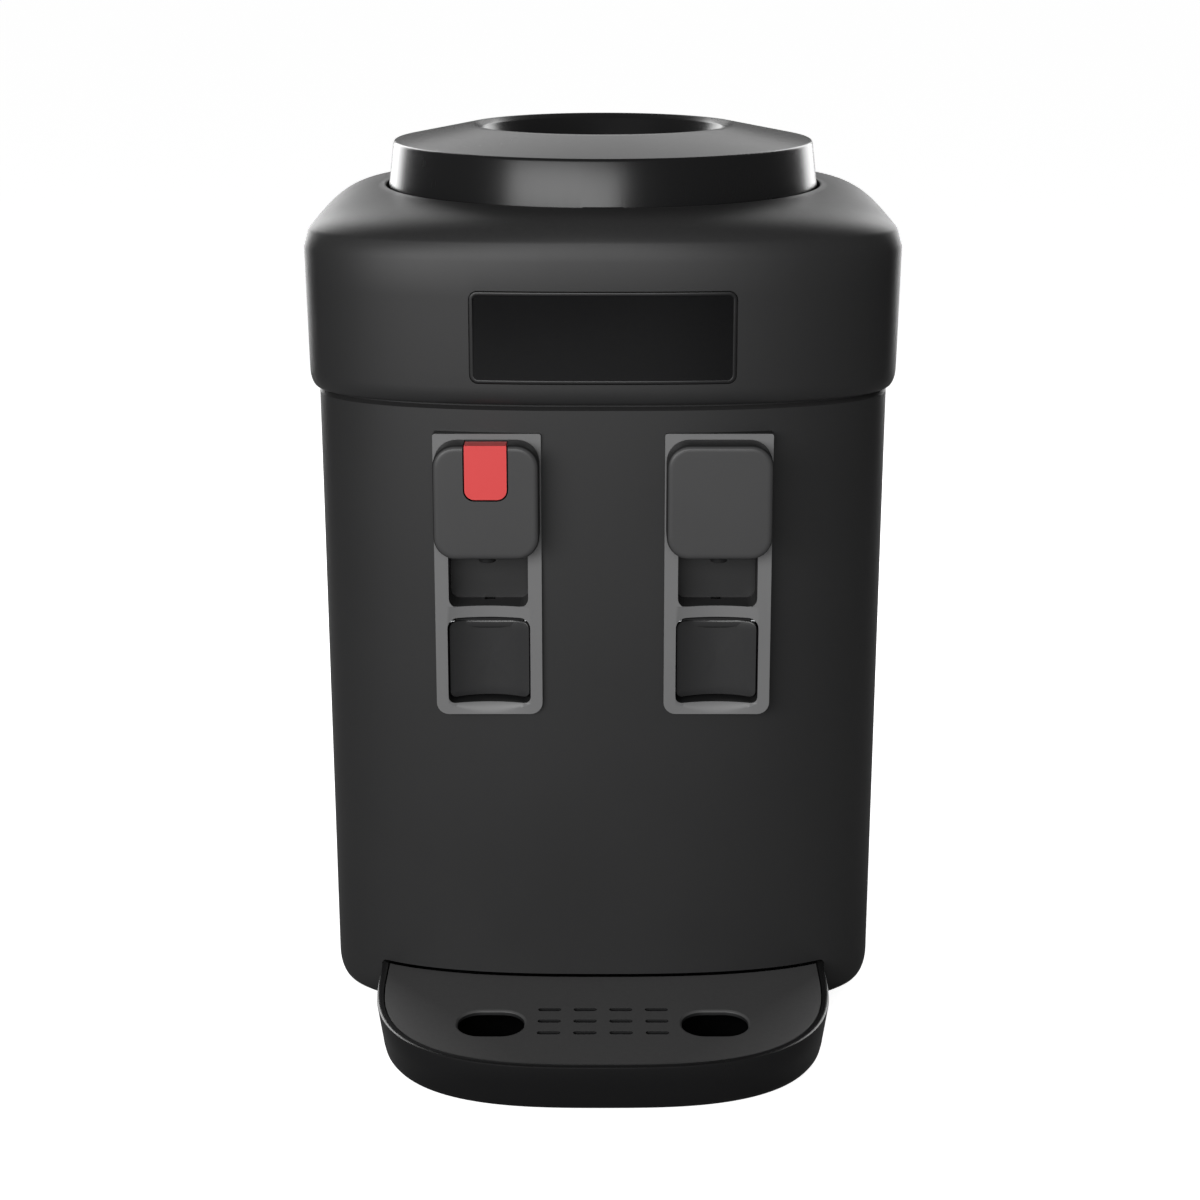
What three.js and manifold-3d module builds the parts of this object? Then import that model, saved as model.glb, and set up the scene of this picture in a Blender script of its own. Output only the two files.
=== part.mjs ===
// Countertop hot and cold water dispenser for an inverted bottle: a squarish housing with a domed head,
// a lift-off bottle collar, two cup-push taps, a slide-out drip tray and the tanks, heater and
// thermoelectric cooler inside. Millimetres, +Z up, front towards -Y, base of the feet at Z = 0.
import * as THREE from 'three';
import { mergeVertices } from 'three/addons/utils/BufferGeometryUtils.js';
import Module from 'manifold-3d';

const wasm = await Module();
wasm.setup();

// ---- Driving dimensions -------------------------------------------------------------------------

const GAP = 0.3;                // clearance left between pieces that touch
const SLIVER = 0.01;            // triangles thinner than this are merged into their neighbours
const AXIS_Y = 48.25;           // bottle axis behind the origin, which is the middle of the footprint
const RING_STEPS = 48;          // points round each housing outline
const PLAN_CENTRE_Y = -72;      // where the bowed front meets the straight sides, from the bottle axis
const FRONT_EXPONENT = 2.6;     // squareness of the bowed front
const REAR_EXPONENT = 9;        // squareness of the rear corners

const HEAD = { halfWidth: 148.4, front: 140, rear: 130 };
const BODY = { halfWidth: 142.6, front: 134, rear: 124.5 };
const WALL = 3;                 // housing wall
const BODY_BOTTOM = 3;
const BODY_NECK = 2.6;          // the neck inside the head is this much smaller all round
const BODY_TOP = 330;           // the body's top edge is hidden inside the head
const HEAD_BOTTOM = 323;
const DOME_BASE = 392.5;
const DOME_TOP = 415;
const DOME_SWEEP = 77;          // degrees of the dome's section, a quarter of a superellipse
const DOME_POWER = 0.82;        // 2 over the section's exponent

const SEAT_RADIUS = 114.2;      // recess in the head that holds the collar
const SEAT_LIP = 1.4;
const SEAT_FLOOR = 409;
const SEAT_BORE = 97;
const CREST_Z = 446;
const CREST_RADIUS = 68;
const THROAT_RADIUS = 30;
const THROAT_BOTTOM = 352;

const BADGE = { halfWidth: 63.6, bottom: 334, top: 378.4, depth: 1.6, corner: 4 };

const TAP_X = 56;               // each tap's middle, left and right of the centre line
const PLATE = { width: 52.2, bottom: 166.9, top: 309.1, face: -135.5 };
const SLEEVE = { width: 44.6, bottom: 169.2, top: 306.4, rear: -112 };
const UPPER_WINDOW = { width: 38.9, bottom: 221.9, top: 303.4, rear: -118 };
const LOWER_WINDOW = { width: 40.6, bottom: 172.3, top: 216.2 };
const COVER = { width: 50.9, bottom: 250, top: 306.4, front: -149.5, wall: 2.2, corner: 11, rounding: 2.4 };
const LOCK = { width: 20.2, bottom: 279.9, top: 306.4, springZ: 292 };
const MOULD_GAP = 0.4;          // clearance round a piece that slides into a moulded opening
const STEM_Z = 262;
const INLET_Z = 284;
const VALVE = { radius: 9, front: -145.5, rear: -115.6, nozzleY: -140, riserY: -130 };
const PIVOT = { y: -124, z: 211.5 };
const PIN_RADIUS = 1.5;         // of the paddles' pins and the fan's spindle
const PADDLE = { halfWidth: 19.7, bottom: 173.5, top: 213, edgeY: -131.5, hollow: 6, thickness: 2 };
const TUBE = { spigot: 4.4, bore: 2.6, inner: 5.5, outer: 7.2 };    // radii of the water ways

const TRAY = { halfWidth: 114.2, front: -226.5, centre: -130, rear: -100, exponent: 2.9 };
const TRAY_RIM = 24.5;
const GRILLE_TOP = 24;
const GRILLE_THICKNESS = 2.4;
const GRILLE_INSET = 4;
const GRILLE_CLEARANCE = 0.8;   // behind the grille, so that it lifts straight up past the housing

const PANEL = { halfWidth: 103.6, bottom: 25.4, top: 312.6, outer: 116.5, thickness: 2.5 };
const DRAIN_PORT = { x: 62, z: 50 };
const CORD_PORT = { x: -72, z: 52 };
const PORT_RADIUS = 6;          // of the drain fitting and the cord gland where they pass the panel
const DRILL = { start: 100, end: 130 };     // span in Y of the tools that cut through the rear panel
const VENT = { height: 3.4, pitch: 7.4 };
const SWITCH_PORTS = { heat: { x: 80, z: 284 }, cool: { x: 80, z: 254 } };
const SCREWS = { x: 100, bottom: 29, top: 309, shank: 1.6 };
const COOLER_Z = 266;           // height of the fan, heat sink and cooling module
const COLD_TANK = { radius: 60, wall: 2.5, bottom: 235, top: 372 };
const JACKET = { radius: 72, bottom: 222, top: 360 };
const HOT_TANK = { y: 20, radius: 50, wall: 1.2, bottom: 75, top: 185 };
const SHELF_Z = 221.5;
const PAN = { bottom: 3, top: 6, front: -96 };
const ROCKER_Y = 114;
const ROCKER_THROW = 14;        // degrees between off and on

// ---- Finishes -----------------------------------------------------------------------------------

function finish(color, roughness, metalness = 0) {
  return new THREE.MeshStandardMaterial({ color, roughness, metalness });
}

const FINISH = {
  housing: finish(0x2c2c2d, 0.62),
  gloss: finish(0x121213, 0.12),
  tapGrey: finish(0x7a7a7b, 0.5),
  coverGrey: finish(0x3c3c3d, 0.48),
  paddle: finish(0x2a2a2b, 0.4),
  red: finish(0xd93a3c, 0.45),
  rubber: finish(0x1a1a1a, 0.9),
  steel: finish(0xb8babc, 0.35, 0.9),
  sheet: finish(0x9a9ea2, 0.5, 0.8),
  aluminium: finish(0xc4c7ca, 0.4, 0.9),
  foam: finish(0xe8e8e4, 0.95),
  tankPlastic: finish(0xdfe2e4, 0.5),
  ceramic: finish(0xf0efe8, 0.7),
  silicone: finish(0xd6dde0, 0.35),
  board: finish(0x1f5a36, 0.6),
  mica: finish(0x8c8f86, 0.6, 0.3),
  black: finish(0x171718, 0.55),
  green: finish(0x2f7d45, 0.4)
};

// ---- Solids -------------------------------------------------------------------------------------

// A closed three.js geometry as a solid that can be cut and joined, with its faces turned outwards.
function solid(geometry) {
  const bare = new THREE.BufferGeometry();
  bare.setAttribute('position', geometry.attributes.position);
  bare.setIndex(geometry.index);
  const merged = mergeVertices(bare, 1e-4);
  const corners = [new THREE.Vector3(), new THREE.Vector3(), new THREE.Vector3()];
  const kept = [];
  let volume = 0;
  for (let i = 0; i < merged.index.count; i += 3) {
    const triangle = [0, 1, 2].map((k) => merged.index.getX(i + k));
    if (new Set(triangle).size < 3) continue;
    triangle.forEach((vertex, k) => corners[k].fromBufferAttribute(merged.attributes.position, vertex));
    volume += corners[0].dot(corners[1].clone().cross(corners[2]));
    kept.push(triangle);
  }
  const outward = volume < 0 ? kept.map(([a, b, c]) => [a, c, b]) : kept;
  const vertProperties = new Float32Array(merged.attributes.position.array);
  const triVerts = Uint32Array.from(outward.flat());
  return new wasm.Manifold(new wasm.Mesh({ numProp: 3, vertProperties, triVerts }));
}

// The finished solid as a geometry, with the slivers that cutting leaves along flat faces collapsed.
function geometryOf(manifold) {
  const { vertProperties, triVerts } = manifold.asOriginal().simplify(SLIVER).getMesh();
  const geometry = new THREE.BufferGeometry();
  geometry.setAttribute('position', new THREE.BufferAttribute(new Float32Array(vertProperties), 3));
  geometry.setIndex(new THREE.BufferAttribute(new Uint32Array(triVerts), 1));
  geometry.computeVertexNormals();
  return geometry;
}

function cut(base, ...tools) {
  return tools.reduce((left, tool) => left.subtract(tool), base);
}

function join(base, ...others) {
  return others.reduce((left, other) => left.add(other), base);
}

// A box given by its lowest and highest corners.
function block([x0, y0, z0], [x1, y1, z1]) {
  const geometry = new THREE.BoxGeometry(x1 - x0, y1 - y0, z1 - z0);
  return solid(geometry.translate((x0 + x1) / 2, (y0 + y1) / 2, (z0 + z1) / 2));
}

// Turns a geometry made along +Z so that it lies along the named axis.
function along(geometry, axis) {
  if (axis === 'x') return geometry.rotateY(Math.PI / 2);
  if (axis === 'y') return geometry.rotateX(-Math.PI / 2);
  return geometry;
}

// A closed (radius, height) profile turned about the axis; heights run along that axis.
function turned(profile, segments = 32, axis = 'z', centre = [0, 0, 0]) {
  const points = profile.map(([radius, height]) => new THREE.Vector2(radius, height));
  const first = points[0];
  const last = points[points.length - 1];
  if (first.x > 0 || last.x > 0) points.push(first.clone());
  const geometry = new THREE.LatheGeometry(points, segments).rotateX(Math.PI / 2);
  return solid(along(geometry, axis).translate(...centre));
}

// A rod from one height to another along an axis.
function rod(radius, start, end, axis, centre, segments = 16) {
  return turned([[0, start], [radius, start], [radius, end], [0, end]], segments, axis, centre);
}

// A pipe with an open bore.
function pipe(outer, inner, start, end, axis, centre, segments = 16) {
  return turned([[inner, start], [outer, start], [outer, end], [inner, end]], segments, axis, centre);
}

function rectangle(width, height, radius) {
  const shape = new THREE.Shape();
  const x = width / 2;
  const y = height / 2;
  shape.moveTo(-x + radius, -y);
  shape.lineTo(x - radius, -y);
  shape.absarc(x - radius, -y + radius, radius, -Math.PI / 2, 0);
  shape.lineTo(x, y - radius);
  shape.absarc(x - radius, y - radius, radius, 0, Math.PI / 2);
  shape.lineTo(-x + radius, y);
  shape.absarc(-x + radius, y - radius, radius, Math.PI / 2, Math.PI);
  shape.lineTo(-x, -y + radius);
  shape.absarc(-x + radius, -y + radius, radius, Math.PI, 1.5 * Math.PI);
  return shape;
}

function polygon(points) {
  return new THREE.Shape(points.map(([x, y]) => new THREE.Vector2(x, y)));
}

function extruded(shape, depth, options = {}) {
  return new THREE.ExtrudeGeometry(shape, { depth, bevelEnabled: false, curveSegments: 3, ...options });
}

// A rounded plate standing upright: its face is in X and Z and its thickness runs back from `front` in Y.
function upright(width, bottom, top, radius, front, depth) {
  const geometry = extruded(rectangle(width, top - bottom, radius), depth).rotateX(Math.PI / 2);
  return solid(geometry.translate(0, front + depth, (bottom + top) / 2));
}

// A side profile in (Y, Z) given thickness in X about the centre line.
function sideProfile(points, width) {
  const geometry = extruded(polygon(points), width).rotateX(Math.PI / 2).rotateZ(Math.PI / 2);
  return solid(geometry.translate(-width / 2, 0, 0));
}

// A stack of equal-length outlines, anticlockwise from above and listed upwards, skinned and capped.
class LoftGeometry extends THREE.BufferGeometry {
  constructor(rings) {
    super();
    const count = rings[0].length;
    const centroid = (ring) => ring.reduce((sum, p) => sum.add(p), new THREE.Vector3()).divideScalar(count);
    const points = [...rings.flat(), centroid(rings[0]), centroid(rings[rings.length - 1])];
    const bottom = rings.length * count;
    const top = bottom + 1;
    const last = bottom - count;
    const index = [];
    for (let k = 0; k < count; k++) {
      const next = (k + 1) % count;
      index.push(bottom, next, k, top, last + k, last + next);
      for (let row = 0; row < last; row += count) {
        index.push(row + k, row + next, row + count + next, row + k, row + count + next, row + count + k);
      }
    }
    this.setFromPoints(points);
    this.setIndex(index);
  }
}

function loft(rings) {
  return solid(new LoftGeometry(rings));
}

// ---- Housing outlines ---------------------------------------------------------------------------

// Distance from the bottle axis to a housing outline, `inset` inside it, in the direction of `angle`.
function planRadius(plan, inset, angle) {
  const halfWidth = plan.halfWidth - inset;
  const frontDepth = plan.front + PLAN_CENTRE_Y - inset;
  const rearDepth = plan.rear - PLAN_CENTRE_Y - inset;
  let inside = 0;
  let outside = 2 * plan.halfWidth;
  for (let step = 0; step < 40; step++) {
    const radius = (inside + outside) / 2;
    const x = Math.abs(radius * Math.cos(angle));
    const y = radius * Math.sin(angle) - PLAN_CENTRE_Y;
    const depth = y < 0 ? frontDepth : rearDepth;
    const power = y < 0 ? FRONT_EXPONENT : REAR_EXPONENT;
    const reach = (x / halfWidth) ** power + (Math.abs(y) / depth) ** power;
    if (reach < 1) inside = radius;
    else outside = radius;
  }
  return inside;
}

function polarRing(radiusAt, z, steps = RING_STEPS) {
  return Array.from({ length: steps }, (_, k) => {
    const angle = (2 * Math.PI * k) / steps;
    const radius = radiusAt(angle);
    return new THREE.Vector3(radius * Math.cos(angle), radius * Math.sin(angle), z);
  });
}

function planRing(plan, inset, z) {
  return polarRing((angle) => planRadius(plan, inset, angle), z);
}

// Rings that sweep from a housing outline up and in to a circle, on a quarter of a superellipse.
function domeRings(plan, inset, base, top, radius, steps = 4) {
  const sweep = THREE.MathUtils.degToRad(DOME_SWEEP);
  return Array.from({ length: steps }, (_, k) => {
    const turn = (sweep * (k + 1)) / steps;
    const inward = (1 - Math.cos(turn) ** DOME_POWER) / (1 - Math.cos(sweep) ** DOME_POWER);
    const z = base + (top - base) * (Math.sin(turn) / Math.sin(sweep)) ** DOME_POWER;
    return polarRing((angle) => THREE.MathUtils.lerp(planRadius(plan, inset, angle), radius, inward), z);
  });
}

// The drip tray's outline: a bowed front, then straight sides back to `rear`.
function trayRing(inset, z, rear = TRAY.rear) {
  const halfWidth = TRAY.halfWidth - inset;
  const depth = TRAY.centre - TRAY.front - inset;
  const arcSteps = 20;
  const ring = [];
  for (let k = 0; k <= arcSteps; k++) {
    const turn = (Math.PI * k) / arcSteps;
    const x = -halfWidth * Math.sign(Math.cos(turn)) * Math.abs(Math.cos(turn)) ** (2 / TRAY.exponent);
    const y = TRAY.centre - depth * Math.sin(turn) ** (2 / TRAY.exponent);
    ring.push(new THREE.Vector3(x, y, z));
  }
  ring.push(new THREE.Vector3(halfWidth, rear, z), new THREE.Vector3(-halfWidth, rear, z));
  return ring;
}

// ---- Scene graph --------------------------------------------------------------------------------

const dispenser = new THREE.Group();
dispenser.position.y = AXIS_Y;

function place(name, shape, material, position = [0, 0, 0]) {
  const mesh = new THREE.Mesh(shape.isBufferGeometry ? shape : geometryOf(shape), material);
  mesh.name = name;
  mesh.position.set(...position);
  dispenser.add(mesh);
  return mesh;
}

// ---- Head and body ------------------------------------------------------------------------------

function bodyOuter(grow = 0) {
  return loft([
    planRing(BODY, 7.5 - grow, BODY_BOTTOM),
    planRing(BODY, 3.9 - grow, 5.2),
    planRing(BODY, 2.2 - grow, 9.5),
    planRing(BODY, 1.7 - grow, 18),
    planRing(BODY, -grow, HEAD_BOTTOM - 3),
    planRing(BODY, BODY_NECK - grow, HEAD_BOTTOM - 1.5),
    planRing(BODY, BODY_NECK - grow, BODY_TOP)
  ]);
}

function bodyInner() {
  return loft([
    planRing(BODY, 7.9 + WALL, BODY_BOTTOM - 1),
    planRing(BODY, 1.7 + WALL, 15),
    planRing(BODY, BODY_NECK + WALL, HEAD_BOTTOM - 8),
    planRing(BODY, BODY_NECK + WALL, BODY_TOP + 1)
  ]);
}

function screwHoles() {
  return [-SCREWS.x, SCREWS.x].flatMap((x) => [SCREWS.bottom, SCREWS.top].map((z) => (
    rod(SCREWS.shank + GAP, DRILL.start, DRILL.end, 'y', [x, 0, z], 8)
  )));
}

// The moulded tub, open above and below, with the recessed frame that the rear panel screws into.
function bodyShell() {
  const rearFrame = block([-107.5, 111.2, 21.5], [107.5, 130, 316.5]).intersect(bodyOuter(-WALL / 2));
  const rearRecess = block([-104, 113.7, 25], [104, 140, 313]);
  const rearOpening = block([-98, 100, 31], [98, 140, 307]);
  const trayMouth = block([-114.6, -150, 0], [114.6, -92, TRAY_RIM + 0.7]);
  const tapHoles = [-TAP_X, TAP_X].map((x) => block(
    [x - SLEEVE.width / 2 - MOULD_GAP, -150, SLEEVE.bottom - MOULD_GAP],
    [x + SLEEVE.width / 2 + MOULD_GAP, -100, SLEEVE.top + MOULD_GAP]
  ));
  const tub = join(cut(bodyOuter(), bodyInner()), rearFrame);
  return cut(tub, rearRecess, rearOpening, trayMouth, ...tapHoles, ...screwHoles());
}

function headShell() {
  const lip = SEAT_RADIUS + SEAT_LIP;
  const outer = loft([
    planRing(HEAD, 4.8, HEAD_BOTTOM),
    planRing(HEAD, 2.7, HEAD_BOTTOM + 2),
    planRing(HEAD, 1.2, HEAD_BOTTOM + 6.5),
    planRing(HEAD, 0, DOME_BASE),
    ...domeRings(HEAD, 0, DOME_BASE, DOME_TOP, lip)
  ]);
  const inner = loft([
    planRing(HEAD, 3.6 + WALL, HEAD_BOTTOM - 1),
    planRing(HEAD, 1.2 + WALL, HEAD_BOTTOM + 6.5),
    planRing(HEAD, WALL, DOME_BASE - 3),
    ...domeRings(HEAD, WALL, DOME_BASE - 3, SEAT_FLOOR - WALL, lip - 4, 2)
  ]);
  const seat = rod(SEAT_RADIUS, SEAT_FLOOR, DOME_TOP + 5, 'z', [0, 0, 0], RING_STEPS);
  const bore = rod(SEAT_BORE, SEAT_FLOOR - 8, SEAT_FLOOR + 2, 'z', [0, 0, 0], 40);
  return cut(outer, inner, seat, bore, badgePocket());
}

// A curved slab just under the head's front face, bounded by the badge outline.
function badgeSlab(grow, under, over) {
  const skin = (inset) => loft([
    planRing(HEAD, inset + 1.2, HEAD_BOTTOM + 6.5),
    planRing(HEAD, inset, DOME_BASE)
  ]);
  const { halfWidth, bottom, top } = BADGE;
  const window = upright(2 * (halfWidth + grow), bottom - grow, top + grow, BADGE.corner + grow, -160, 60);
  return window.intersect(skin(over)).subtract(skin(under));
}

function badgePocket() {
  return badgeSlab(GAP, BADGE.depth + GAP, -5);
}

place('head_shell', headShell(), FINISH.housing);
place('body_shell', bodyShell(), FINISH.housing);
place('name_badge', badgeSlab(0, BADGE.depth, -0.5), FINISH.gloss);

// ---- Base ---------------------------------------------------------------------------------------

const FOOT = { radius: 9, x: 100, front: -78, rear: 86 };

function basePan() {
  const plate = loft([
    planRing(BODY, 7.9 + WALL + 0.6, PAN.bottom),
    planRing(BODY, 7.9 + WALL + 0.6, PAN.top)
  ]);
  return cut(plate, block([-200, -200, 0], [200, PAN.front, 20]));
}

place('base_pan', basePan(), FINISH.black);

for (const [side, x] of [['left', -FOOT.x], ['right', FOOT.x]]) {
  for (const [end, y] of [['front', FOOT.front], ['rear', FOOT.rear]]) {
    const top = PAN.bottom - GAP;
    const profile = [[0, 0], [FOOT.radius - 1, 0], [FOOT.radius, 1], [FOOT.radius - 1, top], [0, top]];
    place(`foot_${end}_${side}`, turned(profile, 14), FINISH.rubber, [x, y, 0]);
  }
}

// ---- Bottle collar ------------------------------------------------------------------------------

function bottleCollar() {
  const ring = turned([
    [29, THROAT_BOTTOM],
    [32, THROAT_BOTTOM],
    [33.5, 383],
    [58, 407],
    [64, 437],
    [105, 434],
    [109.8, SEAT_FLOOR + GAP],
    [113.2, SEAT_FLOOR + GAP],
    [110, 436.6],
    [108.4, 438],
    [CREST_RADIUS + 2, CREST_Z - 0.4],
    [CREST_RADIUS, CREST_Z],
    [CREST_RADIUS - 2, CREST_Z - 0.8],
    [59.5, 433],
    [55, 409],
    [THROAT_RADIUS, 384.5]
  ], 36);
  return ring.subtract(block([-10.5, -120, SEAT_FLOOR - 1], [10.5, -100, DOME_TOP + 0.6]));
}

place('bottle_collar', bottleCollar(), FINISH.gloss);

// ---- Taps ---------------------------------------------------------------------------------------

function windowBlock({ width, bottom, top }, front, rear, grow = 0) {
  return block([-width / 2 - grow, front, bottom - grow], [width / 2 + grow, rear, top + grow]);
}

// The grey face plate, hollowed to the body's bowed front, and the sleeve behind it that holds the tap.
function tapFrame(x) {
  const body = bodyOuter(GAP).translate([-x, 0, 0]);
  const face = windowBlock(PLATE, PLATE.face, -118).subtract(body);
  const sleeve = windowBlock(SLEEVE, -134.5, SLEEVE.rear);
  const lightening = windowBlock({ ...SLEEVE, bottom: LOWER_WINDOW.top + 8 }, -116, SLEEVE.rear + 1, 1);
  return cut(
    join(face, cut(sleeve, lightening)),
    windowBlock(UPPER_WINDOW, -140, UPPER_WINDOW.rear),
    windowBlock(LOWER_WINDOW, -140, -100),
    rod(VALVE.radius + GAP, -120, -110, 'y', [0, 0, STEM_Z], 20),
    rod(TUBE.spigot + GAP, -120, -110, 'y', [0, 0, INLET_Z], 10),
    rod(PIN_RADIUS + GAP, -30, 30, 'x', [0, PIVOT.y, PIVOT.z], 10)
  );
}

// The valve: a level barrel with the stem's spring pocket, a nozzle below and the inlet pipe above.
function valveBody() {
  const { radius, front, rear, nozzleY, riserY } = VALVE;
  const barrel = rod(radius, front, rear, 'y', [0, 0, STEM_Z], 12);
  const nozzleProfile = [[0, 247], [4, 247], [5.4, 254], [5.4, STEM_Z], [0, STEM_Z]];
  const nozzle = turned(nozzleProfile, 10, 'z', [0, nozzleY, 0]);
  const riser = rod(4.6, STEM_Z, 289, 'z', [0, riserY, 0], 10);
  const inlet = rod(TUBE.spigot, riserY, -90, 'y', [0, 0, INLET_Z], 10);
  const springSeat = block([-7, -133.5, 283], [7, -130, 300]);
  return cut(
    join(barrel, nozzle, riser, inlet, springSeat),
    rod(6.5, -128, -110, 'y', [0, 0, STEM_Z], 10),
    rod(2.9, -142, -120, 'y', [0, 0, STEM_Z], 8),
    rod(2.2, 240, STEM_Z, 'z', [0, nozzleY, 0], 6),
    rod(TUBE.bore, riserY - 1, -80, 'y', [0, 0, INLET_Z], 6)
  );
}

// The stem: the seal that shuts the nozzle, a shank through the spring and the head that the lever pushes.
function valveStem() {
  const head = [[4, -108.3], [4, -106.3], [0, -106.3]];
  return turned([[0, -133], [2.5, -133], [2.5, -108.3], ...head], 12, 'y', [0, 0, STEM_Z]);
}

// The square cap over the valve; the hot one has a slot for the child lock.
function tapCover(withLockSlot) {
  const { width, bottom, top, front, wall, corner, rounding } = COVER;
  const shape = rectangle(width - 2 * rounding, top - bottom - 2 * rounding, corner - rounding);
  const depth = PLATE.face - GAP - front;
  const bevel = { bevelEnabled: true, bevelSize: rounding, bevelThickness: rounding, bevelSegments: 1 };
  const cap = extruded(shape, depth, bevel).rotateX(Math.PI / 2);
  const outer = solid(cap.translate(0, front + rounding + depth, (top + bottom) / 2));
  const shell = cut(
    outer,
    block([-40, PLATE.face - GAP, 200], [40, -100, 340]),
    upright(width - 2 * wall, bottom + wall, top - wall, corner - wall, front + wall, 20),
    rod(6, 240, 256, 'z', [0, VALVE.nozzleY, 0], 12)
  );
  if (!withLockSlot) return shell;
  const slotHalf = LOCK.width / 2 + MOULD_GAP;
  const frontSlot = upright(2 * slotHalf, LOCK.bottom - MOULD_GAP, LOCK.top + 20, 4, front - 1, 4.2);
  const topSlot = block([-slotHalf, front - 1, top - 3], [slotHalf, -136.6, top + 5]);
  return cut(shell, frontSlot, topSlot);
}

// The red child-lock tab: a front face, a top return and the boss that its spring sits on.
function lockTab() {
  const face = upright(LOCK.width, LOCK.bottom, LOCK.top, 3.6, COVER.front, 2.6);
  const half = LOCK.width / 2;
  const upper = block([-half, COVER.front + 0.6, 297], [half, COVER.front + 2.6, LOCK.top]);
  const top = block([-half, COVER.front + 0.6, LOCK.top - 2], [half, -140, LOCK.top]);
  const boss = rod(1.8, COVER.front + 2, COVER.front + 5, 'y', [0, 0, LOCK.springZ], 10);
  return join(face, upper, top, boss);
}

// A compression spring whose axis runs in Y.
class SpringCurve extends THREE.Curve {
  constructor(radius, start, length, turns) {
    super();
    Object.assign(this, { radius, start, length, turns });
  }

  getPoint(t, target = new THREE.Vector3()) {
    const turn = 2 * Math.PI * this.turns * t;
    const y = this.start + this.length * t;
    return target.set(this.radius * Math.cos(turn), y, this.radius * Math.sin(turn));
  }
}

function spring(radius, wire, start, end, turns) {
  const path = new SpringCurve(radius, start, end - start, turns);
  const section = new THREE.Shape().absarc(0, 0, wire / 2, 0, 2 * Math.PI);
  const options = { extrudePath: path, steps: 7 * turns, curveSegments: 2 };
  return solid(new THREE.ExtrudeGeometry(section, options));
}

// The cup paddle: a hollowed plate, its knuckle and the lever that reaches up behind the valve.
function cupPaddle() {
  const { halfWidth, bottom, top, edgeY, hollow, thickness } = PADDLE;
  const radius = (halfWidth * halfWidth + hollow * hollow) / (2 * hollow);
  const spread = Math.asin(halfWidth / radius);
  const front = edgeY - radius + hollow;
  const section = new THREE.Shape();
  section.absarc(0, front, radius, Math.PI / 2 + spread, Math.PI / 2 - spread, true);
  section.absarc(0, front, radius + thickness, Math.PI / 2 - spread, Math.PI / 2 + spread, false);
  const arch = solid(extruded(section, top - bottom, { curveSegments: 8 }).translate(0, 0, bottom));
  const plate = arch.intersect(block([-halfWidth, -140, bottom - 1], [halfWidth, -110, top + 1]));
  const knuckle = rod(3.4, -17, 17, 'x', [0, PIVOT.y, PIVOT.z], 12);
  const lever = sideProfile([
    [-124, 208.3], [-103, 206], [-103, 268], [-106, 268], [-106, 211.6], [-121, 212.4], [-124, 213.5]
  ], 5);
  const bore = rod(PIN_RADIUS + GAP, -30, 30, 'x', [0, PIVOT.y, PIVOT.z], 10);
  return cut(join(plate, knuckle, lever), bore);
}

for (const [label, x] of [['hot', -TAP_X], ['cold', TAP_X]]) {
  const at = [x, 0, 0];
  place(`${label}_tap_frame`, tapFrame(x), FINISH.tapGrey, at);
  place(`${label}_valve_body`, valveBody(), FINISH.black, at);
  place(`${label}_tap_cover`, tapCover(label === 'hot'), FINISH.coverGrey, at);
  place(`${label}_stem`, valveStem(), FINISH.ceramic, at);
  place(`${label}_stem_spring`, spring(4.6, 1, -127.2, -108.9, 5), FINISH.steel, [x, 0, STEM_Z]);
  place(`${label}_paddle`, cupPaddle(), FINISH.paddle, at);
  const pin = rod(PIN_RADIUS, -22, 22, 'x', [0, 0, 0], 10);
  place(`${label}_paddle_pin`, pin, FINISH.steel, [x, PIVOT.y, PIVOT.z]);
}

place('child_lock_tab', lockTab(), FINISH.red, [-TAP_X, 0, 0]);
place('child_lock_spring', spring(3, 0.8, -146.1, -134.3, 4), FINISH.steel, [-TAP_X, 0, LOCK.springZ]);

// ---- Drip tray ----------------------------------------------------------------------------------

function dripTray() {
  const bowl = loft([trayRing(4.6, 0.8), trayRing(3.5, 2.2), trayRing(2.7, 6), trayRing(0, TRAY_RIM)]);
  const tongue = block([-106, TRAY.rear - 6, 7.6], [106, -78, 20]);
  const basin = loft([trayRing(8, 4, -103), trayRing(5.8, 9, -103), trayRing(5.4, 21.3, -103)]);
  const ledge = loft([trayRing(GRILLE_INSET - 0.5, 21.2, -102.5), trayRing(GRILLE_INSET - 0.5, 30, -102.5)]);
  const rearBasin = block([-103, -110, 10], [103, -81, 30]);
  return cut(join(bowl, tongue), basin, ledge, rearBasin);
}

const FINGER_HOLE = { x: 54.8, y: -182, width: 33, depth: 25.5 };
const SLOT = { columns: [-26.4, -8.8, 8.8, 26.4], rows: [-168.2, -180, -191.8], width: 10.5, depth: 2.6 };

function dripGrille() {
  const bottom = GRILLE_TOP - GRILLE_THICKNESS;
  const plate = loft([trayRing(GRILLE_INSET, bottom, -103), trayRing(GRILLE_INSET, GRILLE_TOP, -103)]);
  const fingers = [-1, 1].map((side) => solid(
    extruded(rectangle(FINGER_HOLE.width, FINGER_HOLE.depth, 11), 10)
      .translate(side * FINGER_HOLE.x, FINGER_HOLE.y, bottom - 4)
  ));
  const slots = SLOT.columns.flatMap((x) => SLOT.rows.map((y) => block(
    [x - SLOT.width / 2, y - SLOT.depth / 2, bottom - 4],
    [x + SLOT.width / 2, y + SLOT.depth / 2, GRILLE_TOP + 4]
  )));
  return cut(plate, bodyOuter(GRILLE_CLEARANCE), ...fingers, ...slots);
}

place('drip_tray', dripTray(), FINISH.gloss);
place('drip_grille', dripGrille(), FINISH.housing);

// ---- Cold side ----------------------------------------------------------------------------------

const COLD_OUTLET = { x: 25, y: -20 };
const TANK_OUTLETS = [[COLD_OUTLET.x, COLD_OUTLET.y], [-COLD_OUTLET.x, COLD_OUTLET.y]];

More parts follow.
